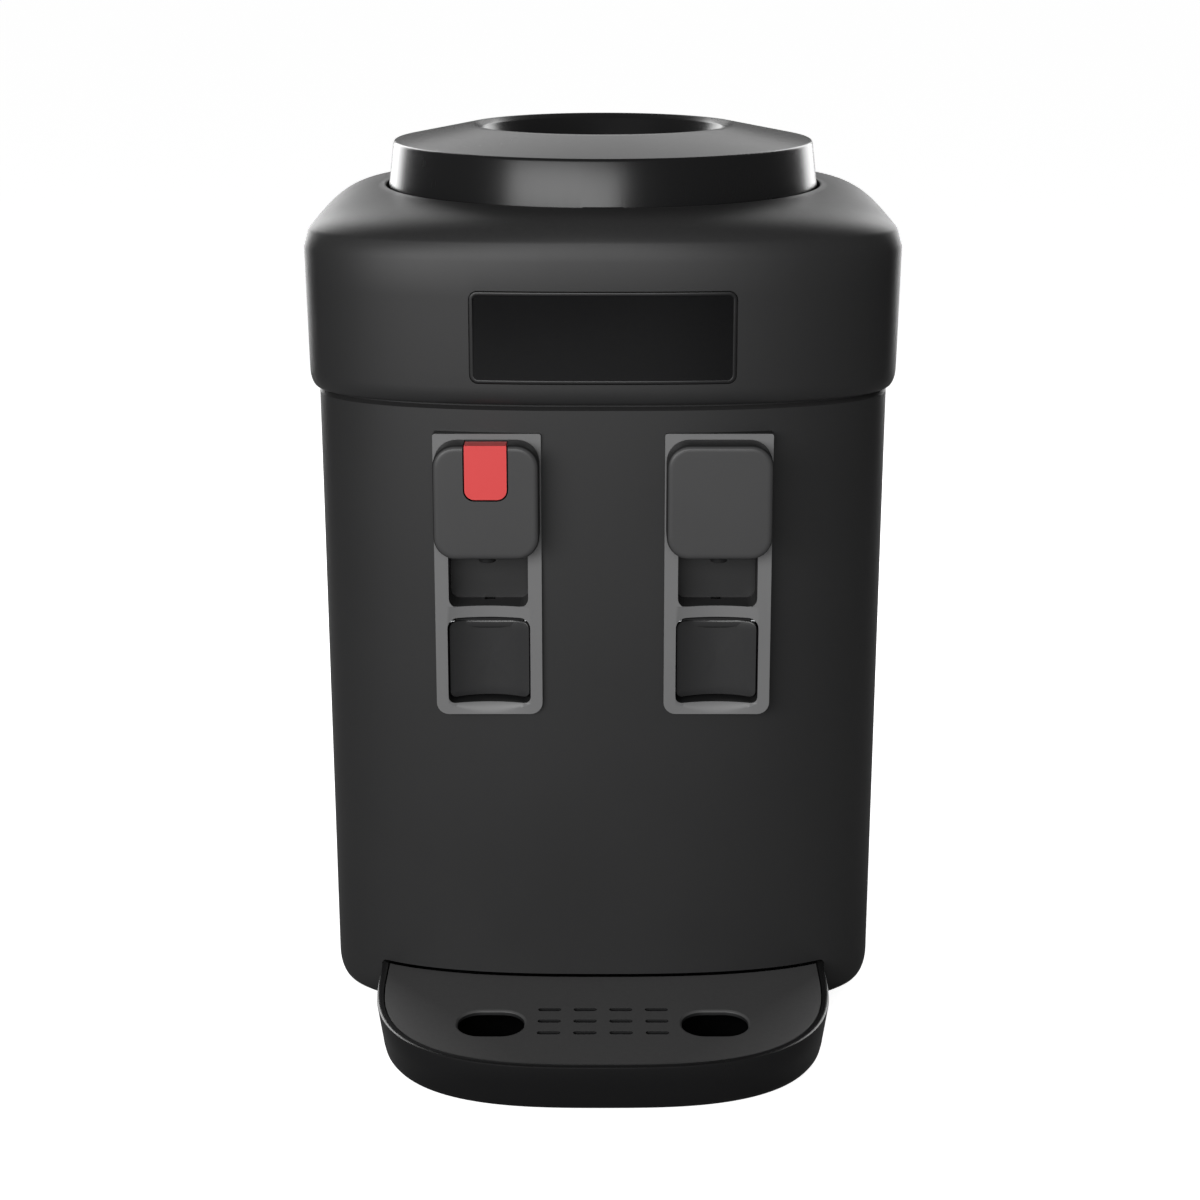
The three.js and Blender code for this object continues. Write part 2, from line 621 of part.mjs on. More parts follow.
const COLD_PLATE = { half: 22, rear: 72 };

function coldTank() {
  const { radius, wall, bottom, top } = COLD_TANK;
  const vessel = turned([
    [0, bottom], [radius, bottom], [radius, top], [38, top], [38, top - wall],
    [radius - wall, top - wall], [radius - wall, bottom + wall], [0, bottom + wall]
  ], 32);
  const spigots = TANK_OUTLETS.map(([x, y]) => rod(TUBE.spigot, 214.5, bottom + 1, 'z', [x, y, 0], 10));
  const bores = TANK_OUTLETS.map(([x, y]) => rod(TUBE.bore, 200, bottom + 5, 'z', [x, y, 0], 8));
  return cut(join(vessel, ...spigots), ...bores);
}

// One half of the foam jacket, with the window for the cold plate at the rear.
function jacketHalf(side) {
  const { radius, bottom, top } = JACKET;
  const inner = COLD_TANK.radius + GAP;
  const cup = turned([
    [0, bottom], [radius, bottom], [radius, top], [inner, top], [inner, COLD_TANK.bottom - GAP],
    [0, COLD_TANK.bottom - GAP]
  ], 32);
  const otherSide = side < 0
    ? block([-GAP / 2, -100, 200], [100, 100, 400])
    : block([-100, -100, 200], [GAP / 2, 100, 400]);
  const window = COLD_PLATE.half + 2 * GAP;
  const plateWindow = block([-window, 30, COOLER_Z - window], [window, 100, COOLER_Z + window]);
  const outlets = TANK_OUTLETS.map(([x, y]) => rod(8, 200, 240, 'z', [x, y, 0], 12));
  return cut(cup, otherSide, plateWindow, ...outlets);
}

function coldPlate() {
  const { half, rear } = COLD_PLATE;
  const plate = block([-half, 40, COOLER_Z - half], [half, rear, COOLER_Z + half]);
  return plate.subtract(rod(COLD_TANK.radius + GAP, 200, 320, 'z', [0, 0, 0], 32));
}

const SINK = { halfWidth: 50, halfHeight: 48, front: 76.3, rear: 96, base: 5, fins: 13, fin: 1.8 };

function heatSink() {
  const { halfWidth, halfHeight, front, rear, base, fins, fin } = SINK;
  const slab = (x0, x1, y0, y1) => block([x0, y0, COOLER_Z - halfHeight], [x1, y1, COOLER_Z + halfHeight]);
  const outermost = halfWidth - 1;
  const blades = Array.from({ length: fins }, (_, k) => {
    const x = -outermost + (2 * outermost * k) / (fins - 1);
    return slab(x - fin / 2, x + fin / 2, front + base - 1.3, rear);
  });
  return join(slab(-halfWidth, halfWidth, front, front + base), ...blades);
}

const FAN = { front: 96.3, rear: 111, half: 40, bore: 37.5, hub: 16 };

function fanFrame() {
  const frame = block([-FAN.half, FAN.front, -FAN.half], [FAN.half, FAN.rear, FAN.half]);
  const bore = rod(FAN.bore, FAN.front - 5, FAN.rear + 5, 'y', [0, 0, 0], 28);
  const spider = [0, 1].map((k) => solid(
    new THREE.BoxGeometry(2 * FAN.bore + 1, 2, 3).rotateY(Math.PI / 4 + (k * Math.PI) / 2)
      .translate(0, FAN.front + 1, 0)
  ));
  const motor = rod(12, FAN.front, FAN.front + 2, 'y', [0, 0, 0], 16);
  const spindle = rod(PIN_RADIUS, FAN.front, FAN.front + 9, 'y', [0, 0, 0], 10);
  return join(cut(frame, bore), ...spider, motor, spindle);
}

function fanRotor() {
  const front = FAN.front + 2 + GAP;
  const rear = FAN.rear - 1;
  const hub = rod(FAN.hub, front, rear, 'y', [0, 0, 0], 20);
  const blades = Array.from({ length: 7 }, (_, k) => solid(
    new THREE.BoxGeometry(FAN.bore - FAN.hub + 0.5, 1.2, 15).rotateX(-0.55)
      .translate((FAN.bore + FAN.hub) / 2 - 1.5, (front + rear) / 2, 0).rotateY((2 * Math.PI * k) / 7)
  ));
  return cut(join(hub, ...blades), rod(PIN_RADIUS + GAP, front - 1, FAN.front + 9 + GAP, 'y', [0, 0, 0], 10));
}

place('cold_tank', coldTank(), FINISH.tankPlastic);
place('tank_jacket_left', jacketHalf(-1), FINISH.foam);
place('tank_jacket_right', jacketHalf(1), FINISH.foam);
place('cold_plate', coldPlate(), FINISH.aluminium);
place('peltier_module', new THREE.BoxGeometry(40, 3.4, 40), FINISH.ceramic, [0, 74.1, COOLER_Z]);
place('heat_sink', heatSink(), FINISH.aluminium);
place('fan_frame', fanFrame(), FINISH.black, [0, 0, COOLER_Z]);
place('fan_rotor', fanRotor(), FINISH.black, [0, 0, COOLER_Z]);

// ---- Hot side -----------------------------------------------------------------------------------

const FEED = { angle: -127, z: 90 };
const DRAIN = { angle: 60, z: 84 };
const HOT_OUTLET = { x: -32, y: 12 };

// A point on the hot tank's side or beyond it, at a compass angle about the tank's own axis.
function besideHotTank({ angle, z }, distance) {
  const turn = THREE.MathUtils.degToRad(angle);
  return new THREE.Vector3(distance * Math.cos(turn), HOT_TANK.y + distance * Math.sin(turn), z);
}

function sideSpigot(port, radius, start, end) {
  const turn = THREE.MathUtils.degToRad(port.angle);
  const geometry = new THREE.CylinderGeometry(radius, radius, end - start, 10).rotateZ(-Math.PI / 2);
  return solid(geometry.translate((start + end) / 2, 0, 0).rotateZ(turn).translate(0, HOT_TANK.y, port.z));
}

function hotTank() {
  const { y, radius, wall, bottom, top } = HOT_TANK;
  const outer = rod(radius, bottom, top, 'z', [0, y, 0], 28);
  const inner = rod(radius - wall, bottom + wall, top - wall, 'z', [0, y, 0], 28);
  const outlet = [HOT_OUTLET.x, HOT_OUTLET.y, 0];
  const spigots = [FEED, DRAIN].map((port) => sideSpigot(port, TUBE.spigot, 48, 60));
  const bores = [FEED, DRAIN].map((port) => sideSpigot(port, TUBE.bore, 40, 70));
  return cut(
    join(outer, ...spigots, rod(TUBE.spigot, top - 1, 194, 'z', outlet, 10)),
    inner,
    ...bores,
    rod(TUBE.bore, top - 8, 205, 'z', outlet, 8)
  );
}

function hotTankStand() {
  const top = block([-44, -25, 72.2], [44, 65, 74.7]);
  const legs = [-1, 1].map((side) => block(
    [side < 0 ? -44 : 42, -5, PAN.top + GAP],
    [side < 0 ? -42 : 44, 45, 73]
  ));
  const flanges = [-1, 1].map((side) => block(
    [side < 0 ? -56 : 43, -5, PAN.top + GAP],
    [side < 0 ? -43 : 56, 45, PAN.top + 2.3]
  ));
  return join(top, ...legs, ...flanges);
}

function tankShelf() {
  const top = block([-100, -62, SHELF_Z - 2], [100, 72, SHELF_Z]);
  const legs = [-1, 1].map((side) => block(
    [side < 0 ? -100 : 98, -40, PAN.top + GAP],
    [side < 0 ? -98 : 100, 45, SHELF_Z - 1]
  ));
  return cut(join(top, ...legs), ...TANK_OUTLETS.map(([x, y]) => rod(9, 200, 240, 'z', [x, y, 0], 16)));
}

place('hot_tank', hotTank(), FINISH.steel);
const heaterBand = pipe(53.5, HOT_TANK.radius + GAP, 108, 150, 'z', [0, 0, 0], 28);
place('heater_band', heaterBand, FINISH.mica, [0, HOT_TANK.y, 0]);
place('hot_thermostat', rod(8, 0, 8, 'z', [0, 0, 0], 14), FINISH.black, [20, 30, HOT_TANK.top + GAP]);
place('thermal_cutout', rod(7, 0, 6.5, 'z', [0, 0, 0], 14), FINISH.ceramic, [22, 5, HOT_TANK.top + GAP]);
place('hot_tank_stand', hotTankStand(), FINISH.sheet);
place('tank_shelf', tankShelf(), FINISH.sheet);

// ---- Water tubes --------------------------------------------------------------------------------

// A silicone tube along a smooth route, pushed over the spigots at its two straight ends.
function waterTube(route, steps) {
  const section = new THREE.Shape().absarc(0, 0, TUBE.outer, 0, 2 * Math.PI);
  section.holes.push(new THREE.Path().absarc(0, 0, TUBE.inner, 0, 2 * Math.PI, true));
  const path = new THREE.CatmullRomCurve3(route.map((p) => (p.isVector3 ? p : new THREE.Vector3(...p))));
  return solid(new THREE.ExtrudeGeometry(section, { extrudePath: path, steps, curveSegments: 3 }));
}

// Both taps are fed from under the shelf, up beside the tap's lever and forward onto its inlet pipe.
function tapTube(side, start) {
  const inletLead = [-76, -82, -89, -98.5].map((y) => [side * TAP_X, y, INLET_Z]);
  return waterTube([
    ...start, [side * 64, -56, 207], [side * 77, -83, 224], [side * 76, -86, 256], [side * 64, -74, 277],
    ...inletLead
  ], 18);
}

function tankLead(side) {
  return [218.6, 213, 208].map((z) => [side * COLD_OUTLET.x, COLD_OUTLET.y, z]);
}

function hotTankLead(port) {
  return [51.5, 60, 68].map((distance) => besideHotTank(port, distance));
}

const hotOutletLead = [187, 194, 199].map((z) => [HOT_OUTLET.x, HOT_OUTLET.y, z]);

place('cold_outlet_tube', tapTube(1, [...tankLead(1), [34, -28, 200]]), FINISH.silicone);
place('hot_outlet_tube', tapTube(-1, [...hotOutletLead, [-38, 2, 206]]), FINISH.silicone);
place('hot_feed_tube', waterTube([
  ...tankLead(-1), [-34, -34, 196], [-52, -54, 170], [-60, -62, 130], besideHotTank({ ...FEED, z: 100 }, 84),
  ...hotTankLead(FEED).reverse()
], 16), FINISH.silicone);
place('drain_tube', waterTube([
  ...hotTankLead(DRAIN), [46, 92, 72], [59, 95, 55], [62, 98, 50], [62, 103, 50], [62, 109, 50]
], 12), FINISH.silicone);

// ---- Rear panel and its fittings ----------------------------------------------------------------

const SWITCH = { halfWidth: 7, halfHeight: 10 };

function backPanel() {
  const { halfWidth, bottom, top, outer, thickness } = PANEL;
  const plate = block([-halfWidth, outer - thickness, bottom], [halfWidth, outer, top]);
  const window = (x0, x1, z0, z1) => block([x0, DRILL.start, z0], [x1, DRILL.end, z1]);
  const vents = (half, lowest, count) => Array.from({ length: count }, (_, k) => {
    const z = lowest + k * VENT.pitch;
    return window(-half, half, z, z + VENT.height);
  });
  const switches = Object.values(SWITCH_PORTS).map(({ x, z }) => {
    const { halfWidth: half, halfHeight } = SWITCH;
    return window(x - half - GAP, x + half + GAP, z - halfHeight - GAP, z + halfHeight + GAP);
  });
  const ports = [DRAIN_PORT, CORD_PORT].map(({ x, z }) => (
    rod(PORT_RADIUS + GAP, DRILL.start, DRILL.end, 'y', [x, 0, z], 14)
  ));
  return cut(
    plate,
    ...vents(36, COOLER_Z - 35, 10),
    ...vents(40, 92, 6),
    ...switches,
    ...screwHoles(),
    ...ports
  );
}

// A rocker switch's housing: a flange outside the panel and an open box through it.
function switchHousing() {
  const flange = block([-9.5, PANEL.outer + GAP, -12.5], [9.5, PANEL.outer + 1.9, 12.5]);
  const { halfWidth, halfHeight } = SWITCH;
  const shell = block([-halfWidth, 100, -halfHeight], [halfWidth, PANEL.outer + 1, halfHeight]);
  const pocket = block([-5.6, 103, -8.6], [5.6, 130, 8.6]);
  const pivots = rod(1.2, -6.2, 6.2, 'x', [0, ROCKER_Y, 0], 8).subtract(block([-4, 0, -9], [4, 200, 9]));
  return join(cut(join(flange, shell), pocket), pivots);
}

// The rocker, a shallow V seen from the side, held in its off position.
function switchRocker() {
  const profile = sideProfile([[107, 0], [112.5, -8], [119.4, -8], [117.4, 0], [119.4, 8], [112.5, 8]], 10.4);
  const rocker = cut(profile, rod(1.2 + GAP, -6, 6, 'x', [0, ROCKER_Y, 0], 10));
  const turn = rocker.translate([0, -ROCKER_Y, 0]).rotate([ROCKER_THROW / 2, 0, 0]);
  return turn.translate([0, ROCKER_Y, 0]);
}

function drainFitting() {
  return turned([
    [TUBE.bore, 103], [TUBE.spigot, 103], [TUBE.spigot, 110], [8, 110], [8, 113.6], [PORT_RADIUS, 113.6],
    [PORT_RADIUS, PANEL.outer + GAP], [9, PANEL.outer + GAP], [9, 118.6], [5, 118.6], [5, 122.2],
    [TUBE.bore, 122.2]
  ], 14, 'y');
}

function drainCap() {
  return turned([
    [0, 124.4], [7.4, 124.4], [8, 123.8], [8, 118.9], [5.4, 118.9], [5.4, 122.5], [0, 122.5]
  ], 14, 'y');
}

// The gland that the supply cord would pass through.
function cordGland() {
  return turned([
    [3.8, 105], [PORT_RADIUS, 105], [PORT_RADIUS, PANEL.outer + GAP], [10, PANEL.outer + GAP], [10, 118.8],
    [7.2, 119.4], [PORT_RADIUS, 124.3], [3.8, 124.3]
  ], 14, 'y');
}

function panelScrew() {
  const head = [[3.6, PANEL.outer + GAP], [3.2, 118.6], [0, 119.1]];
  return turned([[0, 106], [SCREWS.shank, 106], [SCREWS.shank, PANEL.outer + GAP], ...head], 10, 'y');
}

place('back_panel', backPanel(), FINISH.housing);
place('drain_fitting', drainFitting(), FINISH.tankPlastic, [DRAIN_PORT.x, 0, DRAIN_PORT.z]);
place('drain_cap', drainCap(), FINISH.black, [DRAIN_PORT.x, 0, DRAIN_PORT.z]);
place('cord_gland', cordGland(), FINISH.rubber, [CORD_PORT.x, 0, CORD_PORT.z]);
for (const [label, { x, z }] of Object.entries(SWITCH_PORTS)) {
  place(`${label}_switch_housing`, switchHousing(), FINISH.black, [x, 0, z]);
  place(`${label}_switch_rocker`, switchRocker(), label === 'heat' ? FINISH.red : FINISH.green, [x, 0, z]);
}
for (const [side, x] of [['left', -SCREWS.x], ['right', SCREWS.x]]) {
  for (const [end, z] of [['lower', SCREWS.bottom], ['upper', SCREWS.top]]) {
    place(`panel_screw_${end}_${side}`, panelScrew(), FINISH.steel, [x, 0, z]);
  }
}

// ---- Electrical parts ---------------------------------------------------------------------------

// The supply's vented metal case on the base, and the control board on the shelf's left leg.
function powerSupply() {
  const box = block([60, -38, PAN.top + GAP], [93, 44, 58]);
  const vents = Array.from({ length: 6 }, (_, k) => block([66, -30 + k * 12, 50], [87, -26 + k * 12, 60]));
  const hollow = block([61.2, -36.8, PAN.top + GAP + 1.2], [91.8, 42.8, 56.8]);
  return cut(box, hollow, ...vents);
}

function controlBoard() {
  const board = block([-95.6, -32, 92], [-94, 42, 172]);
  const relays = [-20, 4, 26].map((y) => block([-94.2, y, 140], [-80, y + 15, 158]));
  const spacers = [-28, 38].flatMap((y) => [96, 168].map((z) => rod(2.5, -97.6, -95, 'x', [0, y, z], 8)));
  const capacitors = [-18, 0].map((y) => rod(5, -94.5, -76, 'x', [0, y, 112], 12));
  return join(board, ...relays, ...spacers, ...capacitors);
}

place('power_supply', powerSupply(), FINISH.sheet);
place('control_board', controlBoard(), FINISH.board);

export default dispenser;
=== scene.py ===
import math

import bmesh
import bpy
import numpy as np
from bpy.props import FloatProperty, FloatVectorProperty, IntProperty, PointerProperty
from mathutils import Euler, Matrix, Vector


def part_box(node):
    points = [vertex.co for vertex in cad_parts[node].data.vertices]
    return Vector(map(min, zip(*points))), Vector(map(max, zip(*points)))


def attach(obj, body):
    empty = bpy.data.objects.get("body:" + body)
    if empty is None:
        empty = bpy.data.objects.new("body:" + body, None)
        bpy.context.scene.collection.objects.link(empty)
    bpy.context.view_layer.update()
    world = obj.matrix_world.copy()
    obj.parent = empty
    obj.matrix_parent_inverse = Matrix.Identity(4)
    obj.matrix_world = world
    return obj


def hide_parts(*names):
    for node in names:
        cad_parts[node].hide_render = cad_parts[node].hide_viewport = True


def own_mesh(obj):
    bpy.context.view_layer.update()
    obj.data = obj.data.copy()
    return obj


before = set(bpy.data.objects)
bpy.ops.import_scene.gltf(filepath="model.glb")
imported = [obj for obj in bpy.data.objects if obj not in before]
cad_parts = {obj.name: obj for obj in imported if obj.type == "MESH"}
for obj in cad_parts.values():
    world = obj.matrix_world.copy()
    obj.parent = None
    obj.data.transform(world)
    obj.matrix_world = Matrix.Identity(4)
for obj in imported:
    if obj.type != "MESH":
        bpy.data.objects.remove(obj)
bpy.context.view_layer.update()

bl_info = {
    "name": "Countertop Water Dispenser",
    "version": (1, 0, 0),
    "blender": (4, 5, 0),
    "location": "View3D > Sidebar > Dispenser",
    "description": "Builds a hot and cold water dispenser for an upturned bottle around its packed frame",
    "category": "Add Mesh",
}

MM = 0.001
TANK_LOW, TANK_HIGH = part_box("cold_tank")
AXIS_Y = (TANK_LOW.y + TANK_HIGH.y) / 2 / MM    # the bottle axis, which every shape below is drawn about

# Shared shape constants, in millimetres
PLAN_CENTRE = -72        # y where the bowed front meets the straight sides
FRONT_POWER = 2.6        # squareness of the bowed front
REAR_POWER = 9.0         # squareness of the rear corners
OUTLINE_STEPS = 288      # points round a housing's outline
WALL = 3.0
HEAD_BOTTOM = 323.0
DOME_BASE = 392.5
DOME_TOP = 415.0
SEAT_RADIUS = 114.2
SEAT_FLOOR = 409.0
TAP_SIDES = {"hot": -1, "cold": 1}
TAP_FACE = -135.5        # y of the tap frames' front
TAP_OPENING_Z = 237.8    # height of the middle of the body's tap openings
NOZZLE_Y = -140          # y of the nozzles' axis
INLET_Z = 284            # height of the valves' inlet axis
LOCK_BOSS_Z = 292        # height of the child lock's boss
PANEL_FACE = 116.5       # y of the rear panel's outer face
PANEL_Z = 169            # height of the rear panel's centre
PANEL_CUT = (100, 130)   # y range of a tool that goes right through the rear panel
ROCKER_PIVOT_Y = 114
TRAY_CENTRE = -130.0     # y where the tray's bowed front meets its straight sides
TRAY_POWER = 2.9         # squareness of the tray's bowed front
TRAY_STEPS = 72          # steps along the tray's bowed front
COIL_STEPS = 28          # steps to each turn of a spring


# ---- Measures taken from the frame ------------------------------------------------------------------

def span(node):
    """Lowest and highest corner of a frame node, in millimetres about the bottle axis."""
    low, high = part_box(node)
    shift = np.array([0, AXIS_Y, 0])
    return np.array(low) / MM - shift, np.array(high) / MM - shift


def middle(node):
    low, high = span(node)
    return (low + high) / 2


def plan_of(node):
    """The half width, front reach and rear reach of a housing, from its node's box."""
    low, high = span(node)
    return (high[0] - low[0]) / 2, -low[1], high[1]


HEAD = plan_of("head_shell")
BODY = plan_of("body_shell")


# ---- Outlines ---------------------------------------------------------------------------------------

def plan_radius(plan, inset, angles):
    """Distance from the bottle axis to a housing outline, `inset` inside it, at each angle, by bisection."""
    half_width, front, rear = plan
    low = np.zeros_like(angles)
    high = np.full_like(angles, 2 * half_width)
    for _ in range(36):
        radius = (low + high) / 2
        x = np.abs(radius * np.cos(angles))
        y = radius * np.sin(angles) - PLAN_CENTRE
        depth = np.where(y < 0, front + PLAN_CENTRE, rear - PLAN_CENTRE) - inset
        power = np.where(y < 0, FRONT_POWER, REAR_POWER)
        inside = (x / (half_width - inset)) ** power + (np.abs(y) / depth) ** power < 1
        low = np.where(inside, radius, low)
        high = np.where(inside, high, radius)
    return low


def housing_angles(steps):
    """Angles round the housing, closer together where its outline turns faster."""
    samples, longest_step, sharpest_turn = 2400, 4.5, math.radians(3.5)
    half = np.linspace(-np.pi / 2, np.pi / 2, samples)
    radius = plan_radius(HEAD, 0, half)
    x, y = radius * np.cos(half), radius * np.sin(half)
    heading = np.unwrap(np.arctan2(np.diff(y), np.diff(x)))
    turn = np.abs(np.diff(heading, append=heading[-1]))
    steps_needed = np.hypot(np.diff(x), np.diff(y)) / longest_step + turn / sharpest_turn
    cost = np.concatenate([[0], np.cumsum(steps_needed)])
    right = np.interp(np.linspace(0, cost[-1], steps // 2 + 1), cost, half)
    return np.concatenate([right, (np.pi - right[1:-1])[::-1]])


ANGLES = housing_angles(OUTLINE_STEPS)


def ring(radius, z, angles=ANGLES):
    return np.column_stack([radius * np.cos(angles), radius * np.sin(angles), np.full(len(angles), z)])


def housing_row(plan, inset, z, circle=0.0, mix=0.0):
    """One level of a housing, part of the way (`mix`) from its outline to a circle."""
    return ring(plan_radius(plan, inset, ANGLES) * (1 - mix) + circle * mix, z)


def front_of(plan, x, inset=0.0):
    """The y of a housing's bowed front at each x."""
    half_width, front, _ = plan
    share = 1 - (np.abs(x) / (half_width - inset)) ** FRONT_POWER
    return PLAN_CENTRE - (front + PLAN_CENTRE - inset) * share ** (1 / FRONT_POWER)


def fillet(corners, steps=5):
    """A closed polyline whose (u, v, radius) corners are rounded off."""
    points = []
    for i, (u, v, radius) in enumerate(corners):
        here = np.array([u, v], float)
        if radius <= 0:
            points.append(here)
            continue
        back = np.array(corners[i - 1][:2]) - here
        ahead = np.array(corners[(i + 1) % len(corners)][:2]) - here
        back_length, ahead_length = np.hypot(*back), np.hypot(*ahead)
        back, ahead = back / back_length, ahead / ahead_length
        half = math.acos(np.clip(back @ ahead, -1, 1)) / 2
        reach = min(radius / math.tan(half), 0.49 * back_length, 0.49 * ahead_length)
        radius = reach * math.tan(half)
        centre = here + (back + ahead) / np.hypot(*(back + ahead)) * radius / math.sin(half)
        start, end = here + back * reach - centre, here + ahead * reach - centre
        first = math.atan2(start[1], start[0])
        arc = (math.atan2(end[1], end[0]) - first + math.pi) % (2 * math.pi) - math.pi
        for k in range(steps + 1):
            angle = first + arc * k / steps
            points.append(centre + radius * np.array([math.cos(angle), math.sin(angle)]))
    return np.array(points)


def rounded(width, height, radius, centre=(0, 0), corner=6, edge=1):
    """A rounded rectangle with a fixed number of points to each corner and each straight edge."""
    radius = min(radius, width / 2 - 0.01, height / 2 - 0.01)
    points, arcs = [], []
    for k, (sx, sy) in enumerate([(1, -1), (1, 1), (-1, 1), (-1, -1)]):
        angles = np.radians(np.linspace(-90 + 90 * k, 90 * k, corner + 1))
        pivot = np.array([sx * (width / 2 - radius), sy * (height / 2 - radius)])
        arcs.append(pivot + radius * np.column_stack([np.cos(angles), np.sin(angles)]))
    for k, arc in enumerate(arcs):
        following = arcs[(k + 1) % 4][0]
        shares = np.linspace(0, 1, edge + 1)[1:-1, None]
        points += [arc, arc[-1] + (following - arc[-1]) * shares]
    return np.concatenate(points) + np.array(centre)


def at_height(outline, z):
    """A flat (x, y) outline lifted to one height."""
    return np.column_stack([outline, np.full(len(outline), z)])


# ---- Meshes, in millimetres about the bottle axis ---------------------------------------------------

def skin(rows, closed=False, caps=True):
    """Vertices and faces over a stack of equal rings, closed into a loop or capped at its ends."""
    count, total = len(rows[0]), len(rows)
    faces = []
    for r in range(total if closed else total - 1):
        here, above = r * count, (r + 1) % total * count
        for k in range(count):
            following = (k + 1) % count
            faces.append((here + k, here + following, above + following, above + k))
    if caps and not closed:
        faces += [tuple(reversed(range(count))), tuple(range((total - 1) * count, total * count))]
    return np.concatenate(rows), faces


def swing(points, axis):
    """Turns points drawn along +Z so that they lie along the named axis."""
    points = np.asarray(points, float)
    if axis == "x":
        return points[:, [2, 0, 1]]
    if axis == "y":
        return points[:, [0, 2, 1]] * [1, 1, -1]
    return points


def solid(name, vertices, faces):
    """A closed mesh object with its faces turned outwards."""
    mesh = bpy.data.meshes.new(name)
    mesh.from_pydata([tuple(v) for v in vertices], [], faces)
    work = bmesh.new()
    work.from_mesh(mesh)
    bmesh.ops.remove_doubles(work, verts=work.verts, dist=1e-4)
    bmesh.ops.recalc_face_normals(work, faces=work.faces)
    work.to_mesh(mesh)
    work.free()
    obj = bpy.data.objects.new(name, mesh)
    bpy.context.scene.collection.objects.link(obj)
    return obj


def stacked(name, rows, closed=False):
    return solid(name, *skin(rows, closed))


def prism(name, outline, low, high, axis="z", taper=None):
    """A flat outline given thickness. Along y it is drawn in (x, z), along x in (y, z), along z in (x, y)."""
    rows = []
    for points, at in ((outline, low), (outline if taper is None else taper, high)):
        level = np.full(len(points), at)
        columns = {"x": [level, points[:, 0], points[:, 1]], "y": [points[:, 0], level, points[:, 1]],
                   "z": [points[:, 0], points[:, 1], level]}[axis]
        rows.append(np.column_stack(columns))
    return stacked(name, rows)


def block(name, low, high):
    """A plain box, used as a tool or joined to a larger shape."""
    outline = np.array([(low[0], low[1]), (high[0], low[1]), (high[0], high[1]), (low[0], high[1])], float)
    return prism(name, outline, low[2], high[2])


def turned(name, profile, steps=64, axis="z", centre=(0, 0, 0), ribs=0, rib_depth=0.0):
    """A (radius, height) profile turned about an axis. It starts and ends on the axis, or closes up."""
    angles = np.linspace(0, 2 * np.pi, steps, endpoint=False)
    wave = 1 - rib_depth * (0.5 - 0.5 * np.cos(ribs * angles)) if ribs else 1.0
    rows = [ring(radius * (wave if radius > 0 else 1.0), height, angles) for radius, height in profile]
    on_axis = profile[0][0] <= 0 and profile[-1][0] <= 0
    vertices, faces = skin(rows, closed=not on_axis, caps=False)
    return solid(name, swing(vertices, axis) + np.array(centre), faces)


def rod(name, radius, low, high, steps, axis="z", centre=(0, 0, 0)):
    """A plain round bar, used as a tool or joined to a larger shape."""
    return turned(name, [(0, low), (radius, low), (radius, high), (0, high)], steps, axis, centre)


def wire(name, route, radius, sides=12):
    """A round wire along a route."""
    rows = []
    normal = None
    for k, point in enumerate(route):
        ahead = route[min(k + 1, len(route) - 1)] - route[max(k - 1, 0)]
        ahead /= np.linalg.norm(ahead)
        if normal is None:
            normal = np.cross(ahead, [0.3, 0.2, 1.0])    # any direction that the route doesn't start along
        normal = normal - ahead * (normal @ ahead)
        normal /= np.linalg.norm(normal)
        turn = np.linspace(0, 2 * np.pi, sides, endpoint=False)[:, None]
        rows.append(point + radius * (normal * np.cos(turn) + np.cross(ahead, normal) * np.sin(turn)))
    return stacked(name, rows)


def coil(name, node_name, thickness, turns):
    """A compression spring in place of a frame node."""
    low, high = span(node_name)
    x, _, z = middle(node_name)
    radius = (high[2] - low[2]) / 2 - thickness
    start, end = low[1] + thickness, high[1] - thickness
    turn = np.linspace(0, 2 * np.pi * turns, COIL_STEPS * turns + 1)
    share = np.linspace(0, 1, len(turn))
    shift = 0.3 / math.pi / turns * np.sin(2 * np.pi * share)    # brings the middle coils a little closer
    y = start + (end - start) * (1 - share - shift)
    route = np.column_stack([x + radius * np.cos(turn), y, z + radius * np.sin(turn)])
    spring = fit(wire(name, route, thickness), "cabinet", [node_name], "steel", angle=60)
    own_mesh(spring)


def settle(obj):
    """Applies an object's modifiers to its mesh."""
    bpy.context.view_layer.update()
    graph = bpy.context.evaluated_depsgraph_get()
    mesh = bpy.data.meshes.new_from_object(obj.evaluated_get(graph))
    obj.modifiers.clear()
    obj.data = mesh


def combine(obj, operation, tools):
    """Cuts tools out of a shape or joins them to it, and removes the tools."""
    for tool in tools:
        modifier = obj.modifiers.new(operation.title(), "BOOLEAN")
        modifier.operation = operation
        modifier.solver = "EXACT"
        modifier.object = tool
    settle(obj)
    for tool in tools:
        bpy.data.objects.remove(tool)
    return obj


def cut(obj, *tools):
    return combine(obj, "DIFFERENCE", tools)


def join(obj, *tools):
    return combine(obj, "UNION", tools)


def gather(obj, *others):
    """Puts separate closed shapes into one mesh, as they are."""
    work = bmesh.new()
    for one in (obj, *others):
        work.from_mesh(one.data)
    work.to_mesh(obj.data)
    work.free()
    for other in others:
        bpy.data.objects.remove(other)
    return obj


def bevelled(obj, width, angle):
    """A rounded edge of `width` metres, with shading that keeps flat faces flat."""
    bevel = obj.modifiers.new("Edge", "BEVEL")
    bevel.width = width
    bevel.segments = 2
    bevel.limit_method = "ANGLE"
    bevel.angle_limit = math.radians(angle)
    bevel.harden_normals = True
    obj.modifiers.new("Shading", "WEIGHTED_NORMAL").keep_sharp = True


